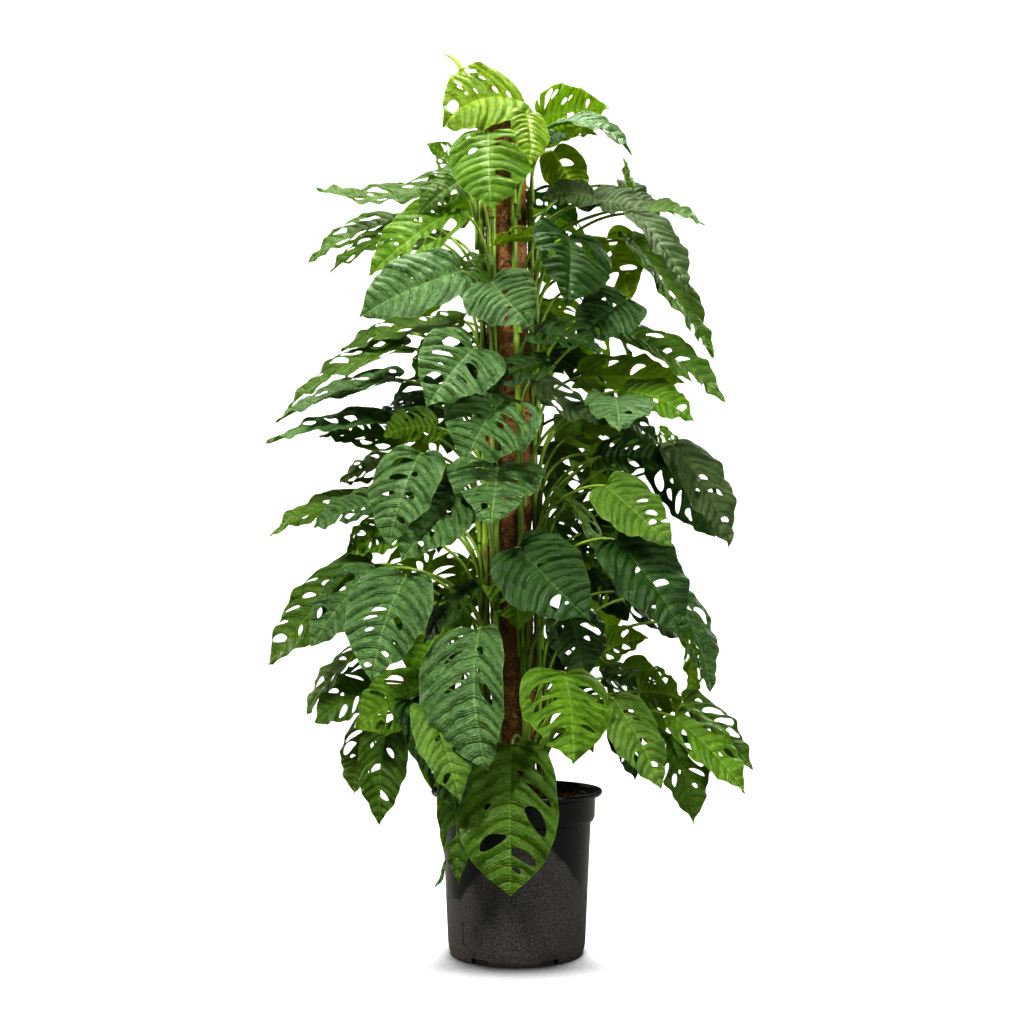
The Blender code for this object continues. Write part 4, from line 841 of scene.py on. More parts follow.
def line_of_sight_holes(leaf, blade, plans, draw):
    """Holes of a leaf that are placed as the observer sees them, by their middle, length and breadth."""
    rings = ([], [])
    level = blade.base + blade.normal * (0.7 * leaf.arch * CM)
    for x, z, length, breadth in HOLES[leaf.name]:
        toward = Vector((x * CM, 0.0, z * CM)) - OBSERVER
        share = (level - OBSERVER).dot(blade.normal) / toward.dot(blade.normal)
        spot = OBSERVER + toward * share - blade.base
        along = spot.dot(blade.axis) / CM
        across = spot.dot(blade.side) / CM
        side = 0 if across >= 0.0 else 1
        vein, reach = plans[side].read(np.array([[along, across]]))
        rings[side].append(plans[side].hole(float(vein[0]), float(reach[0]), length, breadth, draw))
    return rings


def drawn_plan(leaf, blade, draw, fine):
    """Points and triangles of a blade's plan in centimetres, and the vein and reach of each point."""
    length = blade.length / CM
    skew = SKEWS.get(leaf.name, draw.uniform(-SKEW, SKEW))
    form = FORMS.get(leaf.name, draw.uniform(*FORM_SPREAD))
    plans = [Plan(length, 0.5 * leaf.width * (1.0 + sign * skew), form, draw) for sign in (1, -1)]
    if leaf.name in HOLES:
        holes = line_of_sight_holes(leaf, blade, plans, draw)
    else:
        closed = CLOSED.get(leaf.tone, CLOSED_SHARE)
        holes = [plan.grown_holes(closed, draw) for plan in plans]
    outline = np.vstack([plans[0].outline, plans[1].outline[-2:0:-1] * (1, -1)])
    rings = [outline]
    inner = []
    lines = FINE_LINES if fine else PLAIN_LINES
    reaches = np.array(FINE_REACHES if fine else PLAIN_REACHES)
    veins = np.concatenate([np.arange(-4, 10) + line for line in lines])
    for plan, cut, sign in zip(plans, holes, (1, -1)):
        rings += [ring * (1, sign) for ring in cut]
        grid = plan.curve(veins[:, None], reaches[None, :] * plan.margin(veins)[:, None])
        inner.append(grid.reshape(-1, 2) * (1, sign))
    midrib = np.linspace(0.03, 0.97, MIDRIB_POINTS) * length
    for off in (-MIDRIB_SIDE, 0.0, MIDRIB_SIDE):
        inner.append(np.stack([midrib, np.full(MIDRIB_POINTS, off)], axis=1))
    inner = np.vstack(inner)
    edge = np.vstack(rings)
    inner = inner[inside(inner, outline)]
    near = np.hypot(*(inner[:, None, :] - edge[None, :, :]).transpose(2, 0, 1)).min(axis=1)
    inner = inner[near > POINT_CLEARANCE]
    points = [Vector(p) for p in np.vstack([edge, inner])]
    links = []
    start = 0
    for ring in rings:
        count = len(ring)
        links += [(start + i, start + (i + 1) % count) for i in range(count)]
        start += count
    found, _, faces, _, _, _ = delaunay_2d_cdt(points, links, [], 0, 1e-5)
    found = np.array(found)
    faces = np.array(faces)
    middles = found[faces].mean(axis=1)
    kept = inside(middles, outline)
    for ring in rings[1:]:
        kept &= ~inside(middles, ring)
    used, faces = np.unique(faces[kept], return_inverse=True)
    found = found[used]
    faces = faces.reshape(-1, 3)
    vein = np.empty(len(found))
    reach = np.empty(len(found))
    for plan, half in zip(plans, (found[:, 1] >= 0.0, found[:, 1] < 0.0)):
        vein[half], reach[half] = plan.read(found[half])
    return found, faces, vein, reach


def lumps(x, y, draw):
    """Smooth irregular field over a blade, within about -1 and 1."""
    field = np.zeros_like(x)
    for _ in range(LUMP_WAVES):
        way = draw.uniform(0.0, math.tau)
        pace = math.tau / draw.uniform(*LUMP_LENGTHS)
        field += np.sin(pace * (x * math.cos(way) + y * math.sin(way)) + draw.uniform(0.0, math.tau))
    return field / LUMP_WAVES**0.5 / 1.2


def blade_mesh(leaf, blade, draw, fine):
    """Thin closed blade: vertices, faces of its top, its underside and its rim, and its plan coordinates."""
    plan, faces, vein, reach = drawn_plan(leaf, blade, draw, fine)
    x, y = plan[:, 0], plan[:, 1]
    length = blade.length / CM
    width = leaf.width
    along = x / length
    bow = 4.0 * along * (1.0 - along)
    stray = lumps(x, y, draw)
    quilt = QUILT * width * np.abs(np.sin(math.pi * (vein + 0.10 * stray))) ** 0.8 * (1.0 + 0.45 * stray)
    quilt *= smoothstep(0.03, 0.30, reach) * (1.0 - 0.6 * smoothstep(0.80, 1.0, reach)) * (1.0 - 0.6 * along)
    phases = [draw.uniform(0.0, math.tau) for _ in range(4)]
    half = np.where(y >= 0.0, 0, 1)
    wave = np.sin(vein * 1.35 + np.choose(half, phases[:2]))
    wave = wave + 0.6 * np.sin(vein * 2.9 + np.choose(half, phases[2:]))
    twist = math.radians(draw.uniform(-TWIST, TWIST))
    lift = leaf.arch * bow + np.abs(y) * math.sin(blade.fold) - BLADE_CROWN * width * (2.0 * y / width) ** 2
    lift += quilt - GROOVE * np.exp(-((y / GROOVE_WIDTH) ** 2)) + WAVE * width * reach**2 * wave
    lift += y * np.sin(twist * along) + LUMPS * lumps(x, y, draw) * smoothstep(0.0, 0.35, reach)
    shift = y * math.cos(blade.fold) + leaf.bend * bow
    base, axis, normal, side = (np.array(v) for v in (blade.base, blade.axis, blade.normal, blade.side))
    middle = base + CM * (x[:, None] * axis + lift[:, None] * normal + shift[:, None] * side)
    top = faces[:, ::-1]
    a, b, c = (middle[top[:, i]] for i in range(3))
    out = np.zeros_like(middle)
    flat = np.cross(b - a, c - a)
    for i in range(3):
        np.add.at(out, top[:, i], flat)
    out /= np.linalg.norm(out, axis=1)[:, None]
    near_vein = np.abs(vein - np.round(vein)) * VEIN_STEP * length
    rib = RIB_DEPTH * np.exp(-((y / RIB_WIDTH) ** 2)) * (1.0 - along)
    rib += SIDE_RIB_DEPTH * np.exp(-((near_vein / SIDE_RIB_WIDTH) ** 2)) * (1.0 - reach)
    thin = 0.5 * BLADE_THICKNESS
    verts = np.vstack([middle + out * (thin * CM), middle - out * ((thin + rib) * CM)[:, None]])
    count = len(middle)
    pairs = np.vstack([top[:, [0, 1]], top[:, [1, 2]], top[:, [2, 0]]])
    keys = {(int(p), int(q)) for p, q in pairs}
    rim = [(p, q) for p, q in keys if (q, p) not in keys]
    rim = [(p, p + count, q + count, q) for p, q in sorted(rim)]
    coords = np.stack([vein, reach, y], axis=1)
    return verts, top, faces + count, rim, np.vstack([coords, coords])


def tube(places, radii, sides, flatten=1.0):
    """Closed round tube through places: vertices and faces."""
    verts = []
    side = None
    for i, (place, radius) in enumerate(zip(places, radii)):
        before, after = places[max(i - 1, 0)], places[min(i + 1, len(places) - 1)]
        along = (after - before).normalized()
        if side is None:
            side = along.orthogonal().normalized()
        side = (side - along * side.dot(along)).normalized()
        up = along.cross(side)
        for turn in circle(sides):
            verts.append(place + side * (math.cos(turn) * radius) + up * (math.sin(turn) * radius * flatten))
    faces = ring_faces(len(places), sides)
    faces.append(tuple(reversed(range(sides))))
    faces.append(tuple(range(len(verts) - sides, len(verts))))
    return verts, faces


def joined(parts):
    """Vertices and faces of several meshes as one."""
    verts = []
    faces = []
    for more, sides in parts:
        start = len(verts)
        verts += more
        faces += [tuple(start + i for i in face) for face in sides]
    return verts, faces


# Drawn petioles: the swellings at the sheath and at the joint, as shares of the radius and of the length.
PETIOLE_POINTS = 22
PETIOLE_SIDES = 10
SHEATH_SWELL = 0.30
SHEATH_REACH = 0.12
JOINT_SWELL = 0.18
JOINT_REACH = 0.05
JOINT_DROP = 0.0008


def petiole_line(blade, start, up):
    """Places and radii along the middle of a petiole, as in its solid."""
    sheath, curve = petiole_course(blade, start, up, PETIOLE_POINTS)
    places = [start, start.lerp(sheath, 0.5), *curve]
    radii = []
    for i in range(len(places)):
        share = i / (len(places) - 1)
        radius = lerp(PETIOLE_RADIUS, PETIOLE_RADIUS_END, share)
        radius *= 1.0 + SHEATH_SWELL * math.exp(-((share / SHEATH_REACH) ** 2))
        radii.append(radius * (1.0 + JOINT_SWELL * math.exp(-(((1.0 - share) / JOINT_REACH) ** 2))))
    places[-1] = places[-1] - blade.normal * JOINT_DROP
    return places, radii


SHARP_ANGLE = math.radians(50)


def add_object(name, data):
    obj = bpy.data.objects.new(name, data)
    bpy.context.scene.collection.objects.link(obj)
    return obj


def edited(name, edit):
    """Object with the mesh that was built in edit."""
    mesh = bpy.data.meshes.new(name)
    edit.to_mesh(mesh)
    edit.free()
    return add_object(name, mesh)


def new_piece(name, verts, faces, slot, materials, face_slots=None):
    """A piece of the plant or its pot, which rides on the pot's body."""
    mesh = bpy.data.meshes.new(name)
    mesh.from_pydata([tuple(v) for v in verts], [], [tuple(int(i) for i in face) for face in faces])
    for material in materials:
        mesh.materials.append(material)
    if face_slots is not None:
        mesh.polygons.foreach_set("material_index", np.array(face_slots, dtype=np.int32))
    mesh.shade_smooth()
    mesh.set_sharp_from_angle(angle=SHARP_ANGLE)
    obj = add_object(name, mesh)
    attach(obj, "root")
    return obj


def make_leaf(leaf, blade, start, up, fine):
    """Blade and petiole of one leaf."""
    draw = random.Random(leaf.name)
    verts, top, under, rim, coords = blade_mesh(leaf, blade, draw, fine)
    stalk, stalk_faces = tube(*petiole_line(blade, start, up), PETIOLE_SIDES)
    count = len(verts)
    faces = [*top, *under, *rim, *([i + count for i in face] for face in stalk_faces)]
    slots = [0] * len(top) + [1] * (len(under) + len(rim)) + [2] * len(stalk_faces)
    looks = (leaf_top(leaf.tone), leaf_under(leaf.tone), petiole_green(leaf.tone))
    obj = new_piece(leaf.name + "_blade", [*verts, *stalk], faces, f"leaf_{leaf.tone}", looks, slots)
    values = np.zeros((count + len(stalk), 3), np.float32)
    values[:count] = coords
    obj.data.attributes.new("blade", "FLOAT_VECTOR", "POINT").data.foreach_set("vector", values.ravel())
    return obj


class Look:
    """A procedural material under construction: nodes are added to it and wired by these calls."""

    def __init__(self, name):
        self.material = bpy.data.materials.new(name)
        self.material.use_nodes = True
        self.tree = self.material.node_tree
        self.tree.nodes.clear()
        self.output = self.node("ShaderNodeOutputMaterial")

    def node(self, kind, inputs=None, **settings):
        node = self.tree.nodes.new(kind)
        for key, value in settings.items():
            setattr(node, key, value)
        for key, value in (inputs or {}).items():
            self.put(node.inputs[key], value)
        return node

    def put(self, socket, value):
        if isinstance(value, bpy.types.NodeSocket):
            self.tree.links.new(value, socket)
        elif hasattr(socket.default_value, "__len__") and len(value) == 3 and len(socket.default_value) == 4:
            socket.default_value = (*value, 1.0)
        else:
            socket.default_value = value

    def places(self, stretch=(1.0, 1.0, 1.0)):
        """Places on the object, stretched along its axes."""
        source = self.node("ShaderNodeTexCoord").outputs["Object"]
        return self.node("ShaderNodeMapping", {"Vector": source, "Scale": stretch}).outputs["Vector"]

    def noise(self, scale, detail=3.0, stretch=(1.0, 1.0, 1.0), roughness=0.5):
        settings = {"Vector": self.places(stretch), "Scale": scale, "Detail": detail, "Roughness": roughness}
        return self.node("ShaderNodeTexNoise", settings).outputs["Fac"]

    def cells(self, scale):
        """Distance from the middles of scattered cells."""
        settings = {"Vector": self.places(), "Scale": scale}
        return self.node("ShaderNodeTexVoronoi", settings, feature="F1").outputs["Distance"]

    def span(self, value, low, high, to_low=0.0, to_high=1.0, smooth=True):
        """A value between two limits, brought to two others."""
        settings = {"Value": value, "From Min": low, "From Max": high, "To Min": to_low, "To Max": to_high}
        kind = "SMOOTHSTEP" if smooth else "LINEAR"
        return self.node("ShaderNodeMapRange", settings, interpolation_type=kind).outputs["Result"]

    def calc(self, operation, first, second=0.0):
        node = self.node("ShaderNodeMath", operation=operation)
        self.put(node.inputs[0], first)
        self.put(node.inputs[1], second)
        return node.outputs[0]

    def times(self, first, second):
        return self.calc("MULTIPLY", first, second)

    def total(self, *terms):
        """Sum of values, each with its weight."""
        found = None
        for value, weight in terms:
            part = value if weight == 1.0 else self.times(value, weight)
            found = part if found is None else self.calc("ADD", found, part)
        return found

    def off(self, value, middle):
        """Distance of a value from another."""
        return self.calc("ABSOLUTE", self.calc("SUBTRACT", value, middle))

    def blend(self, share, first, second):
        """Colour between two colours."""
        node = self.node("ShaderNodeMix", data_type="RGBA")
        self.put(node.inputs[0], share)
        self.put(node.inputs[6], first)
        self.put(node.inputs[7], second)
        return node.outputs[2]

    def bump(self, height, distance, strength=1.0, normal=None):
        inputs = {"Height": height, "Distance": distance, "Strength": strength}
        if normal is not None:
            inputs["Normal"] = normal
        return self.node("ShaderNodeBump", inputs).outputs["Normal"]

    def surface(self, colour, roughness, normal=None, **constants):
        shader = self.node("ShaderNodeBsdfPrincipled", {"Base Color": colour, "Roughness": roughness})
        if normal is not None:
            self.put(shader.inputs["Normal"], normal)
        for key, value in constants.items():
            self.put(shader.inputs[key.replace("_", " ")], value)
        return shader.outputs[0]

    def finish(self, shader):
        self.put(self.output.inputs["Surface"], shader)
        return self.material

    def mix(self, share, first, second):
        """Shader between two shaders."""
        mixed = self.node("ShaderNodeMixShader", {0: share})
        self.put(mixed.inputs[1], first)
        self.put(mixed.inputs[2], second)
        return mixed.outputs[0]

    def let_light_through(self, shader, colour, share):
        """The surface mixed with light that comes through from the other side."""
        return self.mix(share, shader, self.node("ShaderNodeBsdfTranslucent", {"Color": colour}).outputs[0])


# Least green of a petiole, how far the side veins stray, the fine veins between two of them, and the relief.
PETIOLE_LEAST = (0.230, 0.350, 0.040)
VEIN_STRAY = 0.16
FINE_VEINS = 5.0
LEAF_RELIEF = 0.0018

# Tone of a leaf: darkest and lightest green of its upper face, its side veins, the light that comes through
# it, how much does, its roughness and its gloss. Besides the leaves' own greens, the tones carry painted
# light: deep and dusk are darker copies for leaves that lie in shade, bright is a lighter copy for leaves
# that light falls on and shines through, and the pale grey-greens of the sheen tone and of the grey-green
# tone are a painted sheen of leaves that face the light.
Tone = namedtuple("Tone", "dark light vein through share roughness gloss")
TONES = {
    "young": Tone(
        (0.070, 0.150, 0.003), (0.220, 0.350, 0.014), (0.360, 0.480, 0.060), (0.62, 0.78, 0.02),
        0.26, 0.34, 0.6,
    ),
    "bright": Tone(
        (0.036, 0.104, 0.002), (0.125, 0.250, 0.008), (0.240, 0.370, 0.045), (0.66, 0.86, 0.02),
        0.30, 0.33, 0.6,
    ),
    "mid": Tone(
        (0.020, 0.058, 0.0016), (0.066, 0.140, 0.006), (0.140, 0.225, 0.028), (0.55, 0.78, 0.02),
        0.28, 0.36, 0.5,
    ),
    "deep": Tone(
        (0.006, 0.024, 0.0010), (0.020, 0.066, 0.0028), (0.056, 0.120, 0.014), (0.34, 0.64, 0.02),
        0.18, 0.33, 0.5,
    ),
    "sheen": Tone(
        (0.019, 0.064, 0.010), (0.080, 0.168, 0.038), (0.172, 0.286, 0.088), (0.42, 0.70, 0.03),
        0.18, 0.36, 0.7,
    ),
    "dusk": Tone(
        (0.007, 0.030, 0.0024), (0.024, 0.076, 0.007), (0.060, 0.130, 0.022), (0.36, 0.66, 0.03),
        0.18, 0.33, 0.55,
    ),
    # A grey-green tone: its pale grey-green is a painted sheen of leaves that face the light, on a rougher
    # face.
    "dusty": Tone(
        (0.030, 0.058, 0.014), (0.072, 0.116, 0.036), (0.120, 0.170, 0.062), (0.42, 0.66, 0.05),
        0.22, 0.46, 0.5,
    ),
    "olive": Tone(
        (0.030, 0.074, 0.002), (0.082, 0.155, 0.006), (0.160, 0.250, 0.020), (0.58, 0.78, 0.02),
        0.28, 0.38, 0.4,
    ),
    "pale": Tone(
        (0.048, 0.110, 0.010), (0.125, 0.225, 0.028), (0.200, 0.310, 0.060), (0.56, 0.78, 0.04),
        0.26, 0.37, 0.55,
    ),
}
made = {}


def once(build):
    """Each material is built once for each tone."""

    def found(*tone):
        key = (build.__name__, *tone)
        if key not in made:
            made[key] = build(*tone)
        return made[key]

    return found


def blade_marks(look):
    """Masks along a blade: its midrib, side veins, the quilts between them, the reach and the fine veins."""
    parts = look.node("ShaderNodeSeparateXYZ")
    look.put(parts.inputs[0], look.node("ShaderNodeAttribute", attribute_name="blade").outputs["Vector"])
    vein, reach, across = parts.outputs
    stray = look.span(look.noise(48.0, 3.0), 0.25, 0.75, -VEIN_STRAY, VEIN_STRAY, smooth=False)
    vein = look.total((vein, 1.0), (stray, 1.0))
    midrib = look.span(look.calc("ABSOLUTE", across), 0.05, 0.16, 1.0, 0.0)
    off_vein = look.calc("PINGPONG", vein, 0.5)
    side = look.span(off_vein, 0.02, 0.09, 1.0, 0.0)
    side = look.times(side, look.span(reach, 0.55, 0.98, 1.0, 0.15))
    quilt = look.calc("POWER", look.span(off_vein, 0.0, 0.5, smooth=False), 0.6)
    fine = look.calc("PINGPONG", look.total((vein, FINE_VEINS), (look.noise(70.0, 4.0), 2.4)), 0.5)
    return midrib, side, quilt, reach, look.span(fine, 0.08, 0.42)


@once
def leaf_top(tone):
    """Upper face: mottled and quilted green with pale veins; its quilts and crinkles carry painted highlights
    and shade, and its pale margin is a painted edge highlight.
    """
    look = Look(f"leaf_top_{tone}")
    tint = TONES[tone]
    midrib, side, quilt, reach, fine = blade_marks(look)
    mottle = look.span(look.noise(34.0, 4.0), 0.32, 0.68)
    # The quilts are painted lighter in their middles and darker at the side veins: painted highlight and
    # shade on top of the real relief.
    green = look.blend(look.total((mottle, 0.60), (quilt, 0.34), (fine, 0.20)), tint.dark, tint.light)
    crinkle = look.noise(240.0, 4.0, roughness=0.6)
    # Raised crinkles are painted lighter and their dips darker: painted sheen and shade that follow the bump.
    green = look.blend(look.span(crinkle, 0.50, 0.64, 0.0, 0.42), green, tint.vein)
    green = look.blend(look.span(crinkle, 0.36, 0.50, 0.45, 0.0), green, [0.6 * c for c in tint.dark])
    green = look.blend(look.times(side, 0.42), green, tint.vein)
    green = look.blend(look.times(midrib, 0.72), green, tint.vein)
    # The pale band along the margin is a painted highlight of the edge.
    green = look.blend(look.span(reach, 0.972, 0.996, 0.0, 0.60), green, tint.vein)
    swell = look.noise(85.0, 3.0)
    height = look.total((quilt, 1.6), (fine, 0.34), (crinkle, 1.7), (swell, 1.3), (side, -0.6))
    normal = look.bump(height, LEAF_RELIEF, 0.85)
    rough = look.span(look.noise(110.0, 3.0), 0.3, 0.7, tint.roughness - 0.05, tint.roughness + 0.10)
    shader = look.surface(green, rough, normal, IOR=1.45, Specular_IOR_Level=tint.gloss)
    return look.finish(look.let_light_through(shader, tint.through, tint.share))


@once
def leaf_under(tone):
    """Underside: paler and duller than the upper face, with veins that stand out."""
    look = Look(f"leaf_under_{tone}")
    tint = TONES[tone]
    midrib, side, quilt, _, fine = blade_marks(look)
    pale = [0.60 * light + 0.40 * vein + 0.008 for light, vein in zip(tint.light, tint.vein)]
    mottle = look.span(look.noise(45.0, 4.0), 0.30, 0.70)
    green = look.blend(look.total((mottle, 0.5), (fine, 0.5)), tint.light, pale)
    green = look.blend(look.times(side, 0.7), green, tint.vein)
    green = look.blend(midrib, green, [1.12 * v for v in tint.vein])
    crinkle = look.noise(260.0, 4.0)
    # Dips of the crinkles are painted darker: painted shade that follows the bump.
    green = look.blend(look.span(crinkle, 0.36, 0.50, 0.28, 0.0), green, tint.dark)
    normal = look.bump(look.total((crinkle, 1.4), (side, 0.7), (quilt, -1.1)), LEAF_RELIEF, 0.6)
    rough = look.span(look.noise(90.0, 3.0), 0.3, 0.7, 0.46, 0.60)
    shader = look.surface(green, rough, normal, IOR=1.42, Specular_IOR_Level=0.35)
    return look.finish(look.let_light_through(shader, tint.through, tint.share))


@once
def petiole_green(tone):
    look = Look(f"petiole_{tone}")
    tint = TONES[tone]
    channels = zip(tint.light, tint.vein, PETIOLE_LEAST)
    body = [max(0.5 * (light + vein), least) for light, vein, least in channels]
    lines = look.noise(260.0, 3.0, stretch=(1.0, 1.0, 0.08))
    green = look.blend(look.span(lines, 0.35, 0.65), [0.65 * c for c in body], body)
    light = look.span(look.noise(30.0, 3.0), 0.45, 0.75, 0.0, 0.5)
    green = look.blend(light, green, [1.45 * c for c in body])
    return look.finish(look.surface(green, 0.42, look.bump(lines, 0.0005, 0.5), Specular_IOR_Level=0.35))


@once
def stem_look():
    """Climbing stem: green, with long cork-brown streaks and pale lengthwise lines."""
    look = Look("stem_bark")
    lines = look.noise(300.0, 4.0, stretch=(1.0, 1.0, 0.06))
    green = look.blend(look.span(lines, 0.3, 0.7), (0.130, 0.220, 0.022), (0.290, 0.410, 0.060))
    cork = look.span(look.noise(55.0, 4.0, stretch=(1.0, 1.0, 0.35)), 0.60, 0.74)
    green = look.blend(cork, green, (0.130, 0.095, 0.045))
    normal = look.bump(look.total((lines, 1.0), (cork, 1.0)), 0.0006, 0.6)
    return look.finish(look.surface(green, look.span(cork, 0.0, 1.0, 0.42, 0.75), normal))


@once
def root_look():
    look = Look("aerial_root")
    grain = look.noise(420.0, 3.0)
    brown = look.blend(look.span(grain, 0.3, 0.7), (0.060, 0.032, 0.016), (0.190, 0.120, 0.060))
    return look.finish(look.surface(brown, 0.8, look.bump(grain, 0.0004, 0.6)))


def coir_colour(look):
    """Red-brown of coir, from shadowed to sunlit fibre, patchy at the scale of a few centimetres."""
    strand = look.noise(900.0, 4.0, stretch=(1.0, 1.0, 0.5))
    brown = look.blend(look.span(strand, 0.32, 0.68), (0.070, 0.024, 0.008), (0.600, 0.310, 0.140))
    clump = look.span(look.noise(130.0, 5.0), 0.36, 0.64)
    brown = look.blend(look.span(clump, 0.0, 1.0, 0.0, 0.35), brown, (0.130, 0.050, 0.020))
    band = look.span(look.noise(22.0, 3.0), 0.40, 0.68, 0.0, 0.35)
    return look.blend(band, brown, (0.620, 0.340, 0.160)), strand, clump


@once
def coir_mat():
    look = Look("coir_mat")
    brown, strand, clump = coir_colour(look)
    normal = look.bump(look.total((strand, 1.0), (clump, 2.0)), 0.0018, 0.9)
    return look.finish(look.surface(brown, 0.88, normal, Specular_IOR_Level=0.25))


@once
def coir_fibre():
    look = Look("coir_fibre")
    tone = look.noise(60.0, 4.0)
    brown = look.blend(look.span(tone, 0.30, 0.70), (0.170, 0.066, 0.022), (0.700, 0.400, 0.190))
    return look.finish(look.surface(brown, 0.62, look.bump(look.noise(1500.0, 2.0), 0.0002, 0.4)))


@once
def peat_look():
    look = Look("peat_crumb")
    grain = look.noise(520.0, 5.0, roughness=0.6)
    brown = look.blend(look.span(grain, 0.35, 0.68), (0.020, 0.010, 0.005), (0.190, 0.098, 0.046))
    fleck = look.span(look.noise(260.0, 2.0), 0.64, 0.70, 0.0, 0.7)
    brown = look.blend(fleck, brown, (0.420, 0.240, 0.110))
    return look.finish(look.surface(brown, 0.95, look.bump(grain, 0.0015, 0.9), Specular_IOR_Level=0.2))


# The paler, rougher zone of the wall reaches up to a bow that is highest near the middle of the front and of
# the back, and lies all round at the foot.
GREY_ZONE_MIDDLE = 0.010
GREY_ZONE_BOW = 12.0
GREY_ZONE_STRAY = 0.020
GREY_ZONE_TOP = 0.180
GREY_ZONE_FOOT = 0.092
GREY_ZONE_BLUR = 0.005

# A crack in the wall near the foot: the heights between which it bends, its x there, how far it strays and
# its top.
CRACK_BEND = (0.012, 0.026)
CRACK_PLACES = (-0.0595, -0.0750)
CRACK_STRAY = 0.004
CRACK_TOP = 0.052


@once
def pot_look():
    """Black moulded plastic: glossy above, where its dark green is a painted reflection of the leaves, paler
    and rougher below, with brown dirt, specks, scuffs and a crack.
    """
    look = Look("pot_plastic_black")
    grain = look.noise(900.0, 3.0)
    x, y, height = look.node("ShaderNodeSeparateXYZ", {0: look.places()}).outputs
    bow = look.calc("POWER", look.off(x, GREY_ZONE_MIDDLE), 2.0)
    edge = look.total((height, 1.0), (bow, GREY_ZONE_BOW), (look.noise(28.0, 3.0), GREY_ZONE_STRAY))
    dusty = look.span(edge, GREY_ZONE_TOP - GREY_ZONE_BLUR, GREY_ZONE_TOP + GREY_ZONE_BLUR, 1.0, 0.0)
    foot = look.total((height, 1.0), (look.noise(22.0, 2.0), GREY_ZONE_STRAY))
    low = look.span(foot, GREY_ZONE_FOOT - GREY_ZONE_BLUR, GREY_ZONE_FOOT + GREY_ZONE_BLUR, 1.0, 0.0)
    dusty = look.calc("MAXIMUM", dusty, low)
    patches = look.span(look.noise(9.0, 2.0), 0.30, 0.65, 0.78, 1.0)
    fine_grain = look.span(look.noise(680.0, 4.0, roughness=0.75), 0.38, 0.66)
    black = look.blend(look.times(fine_grain, patches), (0.0085, 0.0078, 0.0078), (0.108, 0.097, 0.091))
    brown = look.span(height, 0.0, 0.030, 0.45, 0.0)
    black = look.blend(look.times(brown, fine_grain), black, (0.070, 0.042, 0.026))
    # The glossy zone's dark green, mottled at random, is a painted reflection of the leaves.
    cloud = look.span(look.noise(14.0, 3.0), 0.35, 0.7)
    gloss = look.blend(cloud, (0.0010, 0.0040, 0.0032), (0.0026, 0.0058, 0.0048))
    black = look.blend(dusty, gloss, black)
    speck = look.span(look.cells(160.0), 0.07, 0.10, 1.0, 0.0)
    speck = look.times(speck, look.span(look.noise(50.0, 2.0), 0.60, 0.66))
    black = look.blend(look.times(speck, 0.6), black, (0.34, 0.33, 0.32))
    path = look.span(height, *CRACK_BEND, *CRACK_PLACES)
    path = look.total((path, 1.0), (look.noise(110.0, 3.0), CRACK_STRAY))
    crack = look.span(look.off(x, path), 0.0004, 0.0011, 1.0, 0.0)
    crack = look.times(crack, look.span(height, CRACK_TOP, CRACK_TOP + 0.004, 1.0, 0.0))
    crack = look.times(crack, look.span(y, -0.02, -0.01, 1.0, 0.0))
    black = look.blend(crack, black, (0.0012, 0.0010, 0.0010))
    scuff = look.span(look.noise(120.0, 4.0, stretch=(1.0, 1.0, 0.12)), 0.60, 0.70)
    rough = look.total((look.span(dusty, 0.0, 1.0, 0.18, 0.48), 1.0), (scuff, 0.12))
    normal = look.bump(look.total((grain, 1.0), (look.noise(2600.0, 2.0), 1.0)), 0.00026, 0.6)
    return look.finish(look.surface(black, rough, normal, IOR=1.49, Specular_IOR_Level=0.34))


# The pot's profile is the solid's, with its corners rounded.
POT_SEGMENTS = 144
POT_CORNER = 0.0016
POT_CORNER_STEPS = 4
POT_SHARP_ANGLE = math.radians(40)
DRAIN_SEGMENTS = 24


def rounded(profile, radius, steps):
    """A profile with round corners, each no larger than its neighbours leave room for."""
    found = [profile[0]]
    for before, corner, after in zip(profile, profile[1:], profile[2:]):
        a, b, c = (np.array(p) for p in (before, corner, after))
        reach = min(radius, 0.45 * np.linalg.norm(a - b), 0.45 * np.linalg.norm(c - b))
        start = b + (a - b) / np.linalg.norm(a - b) * reach
        end = b + (c - b) / np.linalg.norm(c - b) * reach
        for k in range(steps + 1):
            t = k / steps
            found.append(tuple((1 - t) ** 2 * start + 2 * t * (1 - t) * b + t * t * end))
    found.append(profile[-1])
    return found


def make_pot():
    """Moulded pot with a fine round wall, notches in its foot ring and drain holes."""
    profile = rounded((*POT_INNER, *POT_OUTER, *POT_UNDERSIDE), POT_CORNER, POT_CORNER_STEPS)
    edit = bmesh.new()
    rings = []
    for radius, z in profile:
        turns = circle(POT_SEGMENTS) if radius > 1e-6 else [0.0]
        rings.append([edit.verts.new((radius * math.cos(a), radius * math.sin(a), z)) for a in turns])
    for low, high in zip(rings, rings[1:]):
        for i in range(POT_SEGMENTS):
            j = (i + 1) % POT_SEGMENTS
            corners = [low[i % len(low)], high[i % len(high)], high[j % len(high)], low[j % len(low)]]
            edit.faces.new(list(dict.fromkeys(corners)))
    bmesh.ops.recalc_face_normals(edit, faces=edit.faces)
    pot = edited("pot_wall", edit)
    pot.data.materials.append(pot_look())
    cutters = [foot_cutter(), drain_cutter()]
    for cutter in cutters:
        modifier = pot.modifiers.new("cut", "BOOLEAN")
        modifier.operation = "DIFFERENCE"
        modifier.solver = "EXACT"
        modifier.object = cutter
    apply_modifiers(pot)
    for cutter in cutters:
        bpy.data.objects.remove(cutter, do_unlink=True)
    pot.data.shade_smooth()
    pot.data.set_sharp_from_angle(angle=POT_SHARP_ANGLE)
    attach(pot, "root")
    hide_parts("pot")


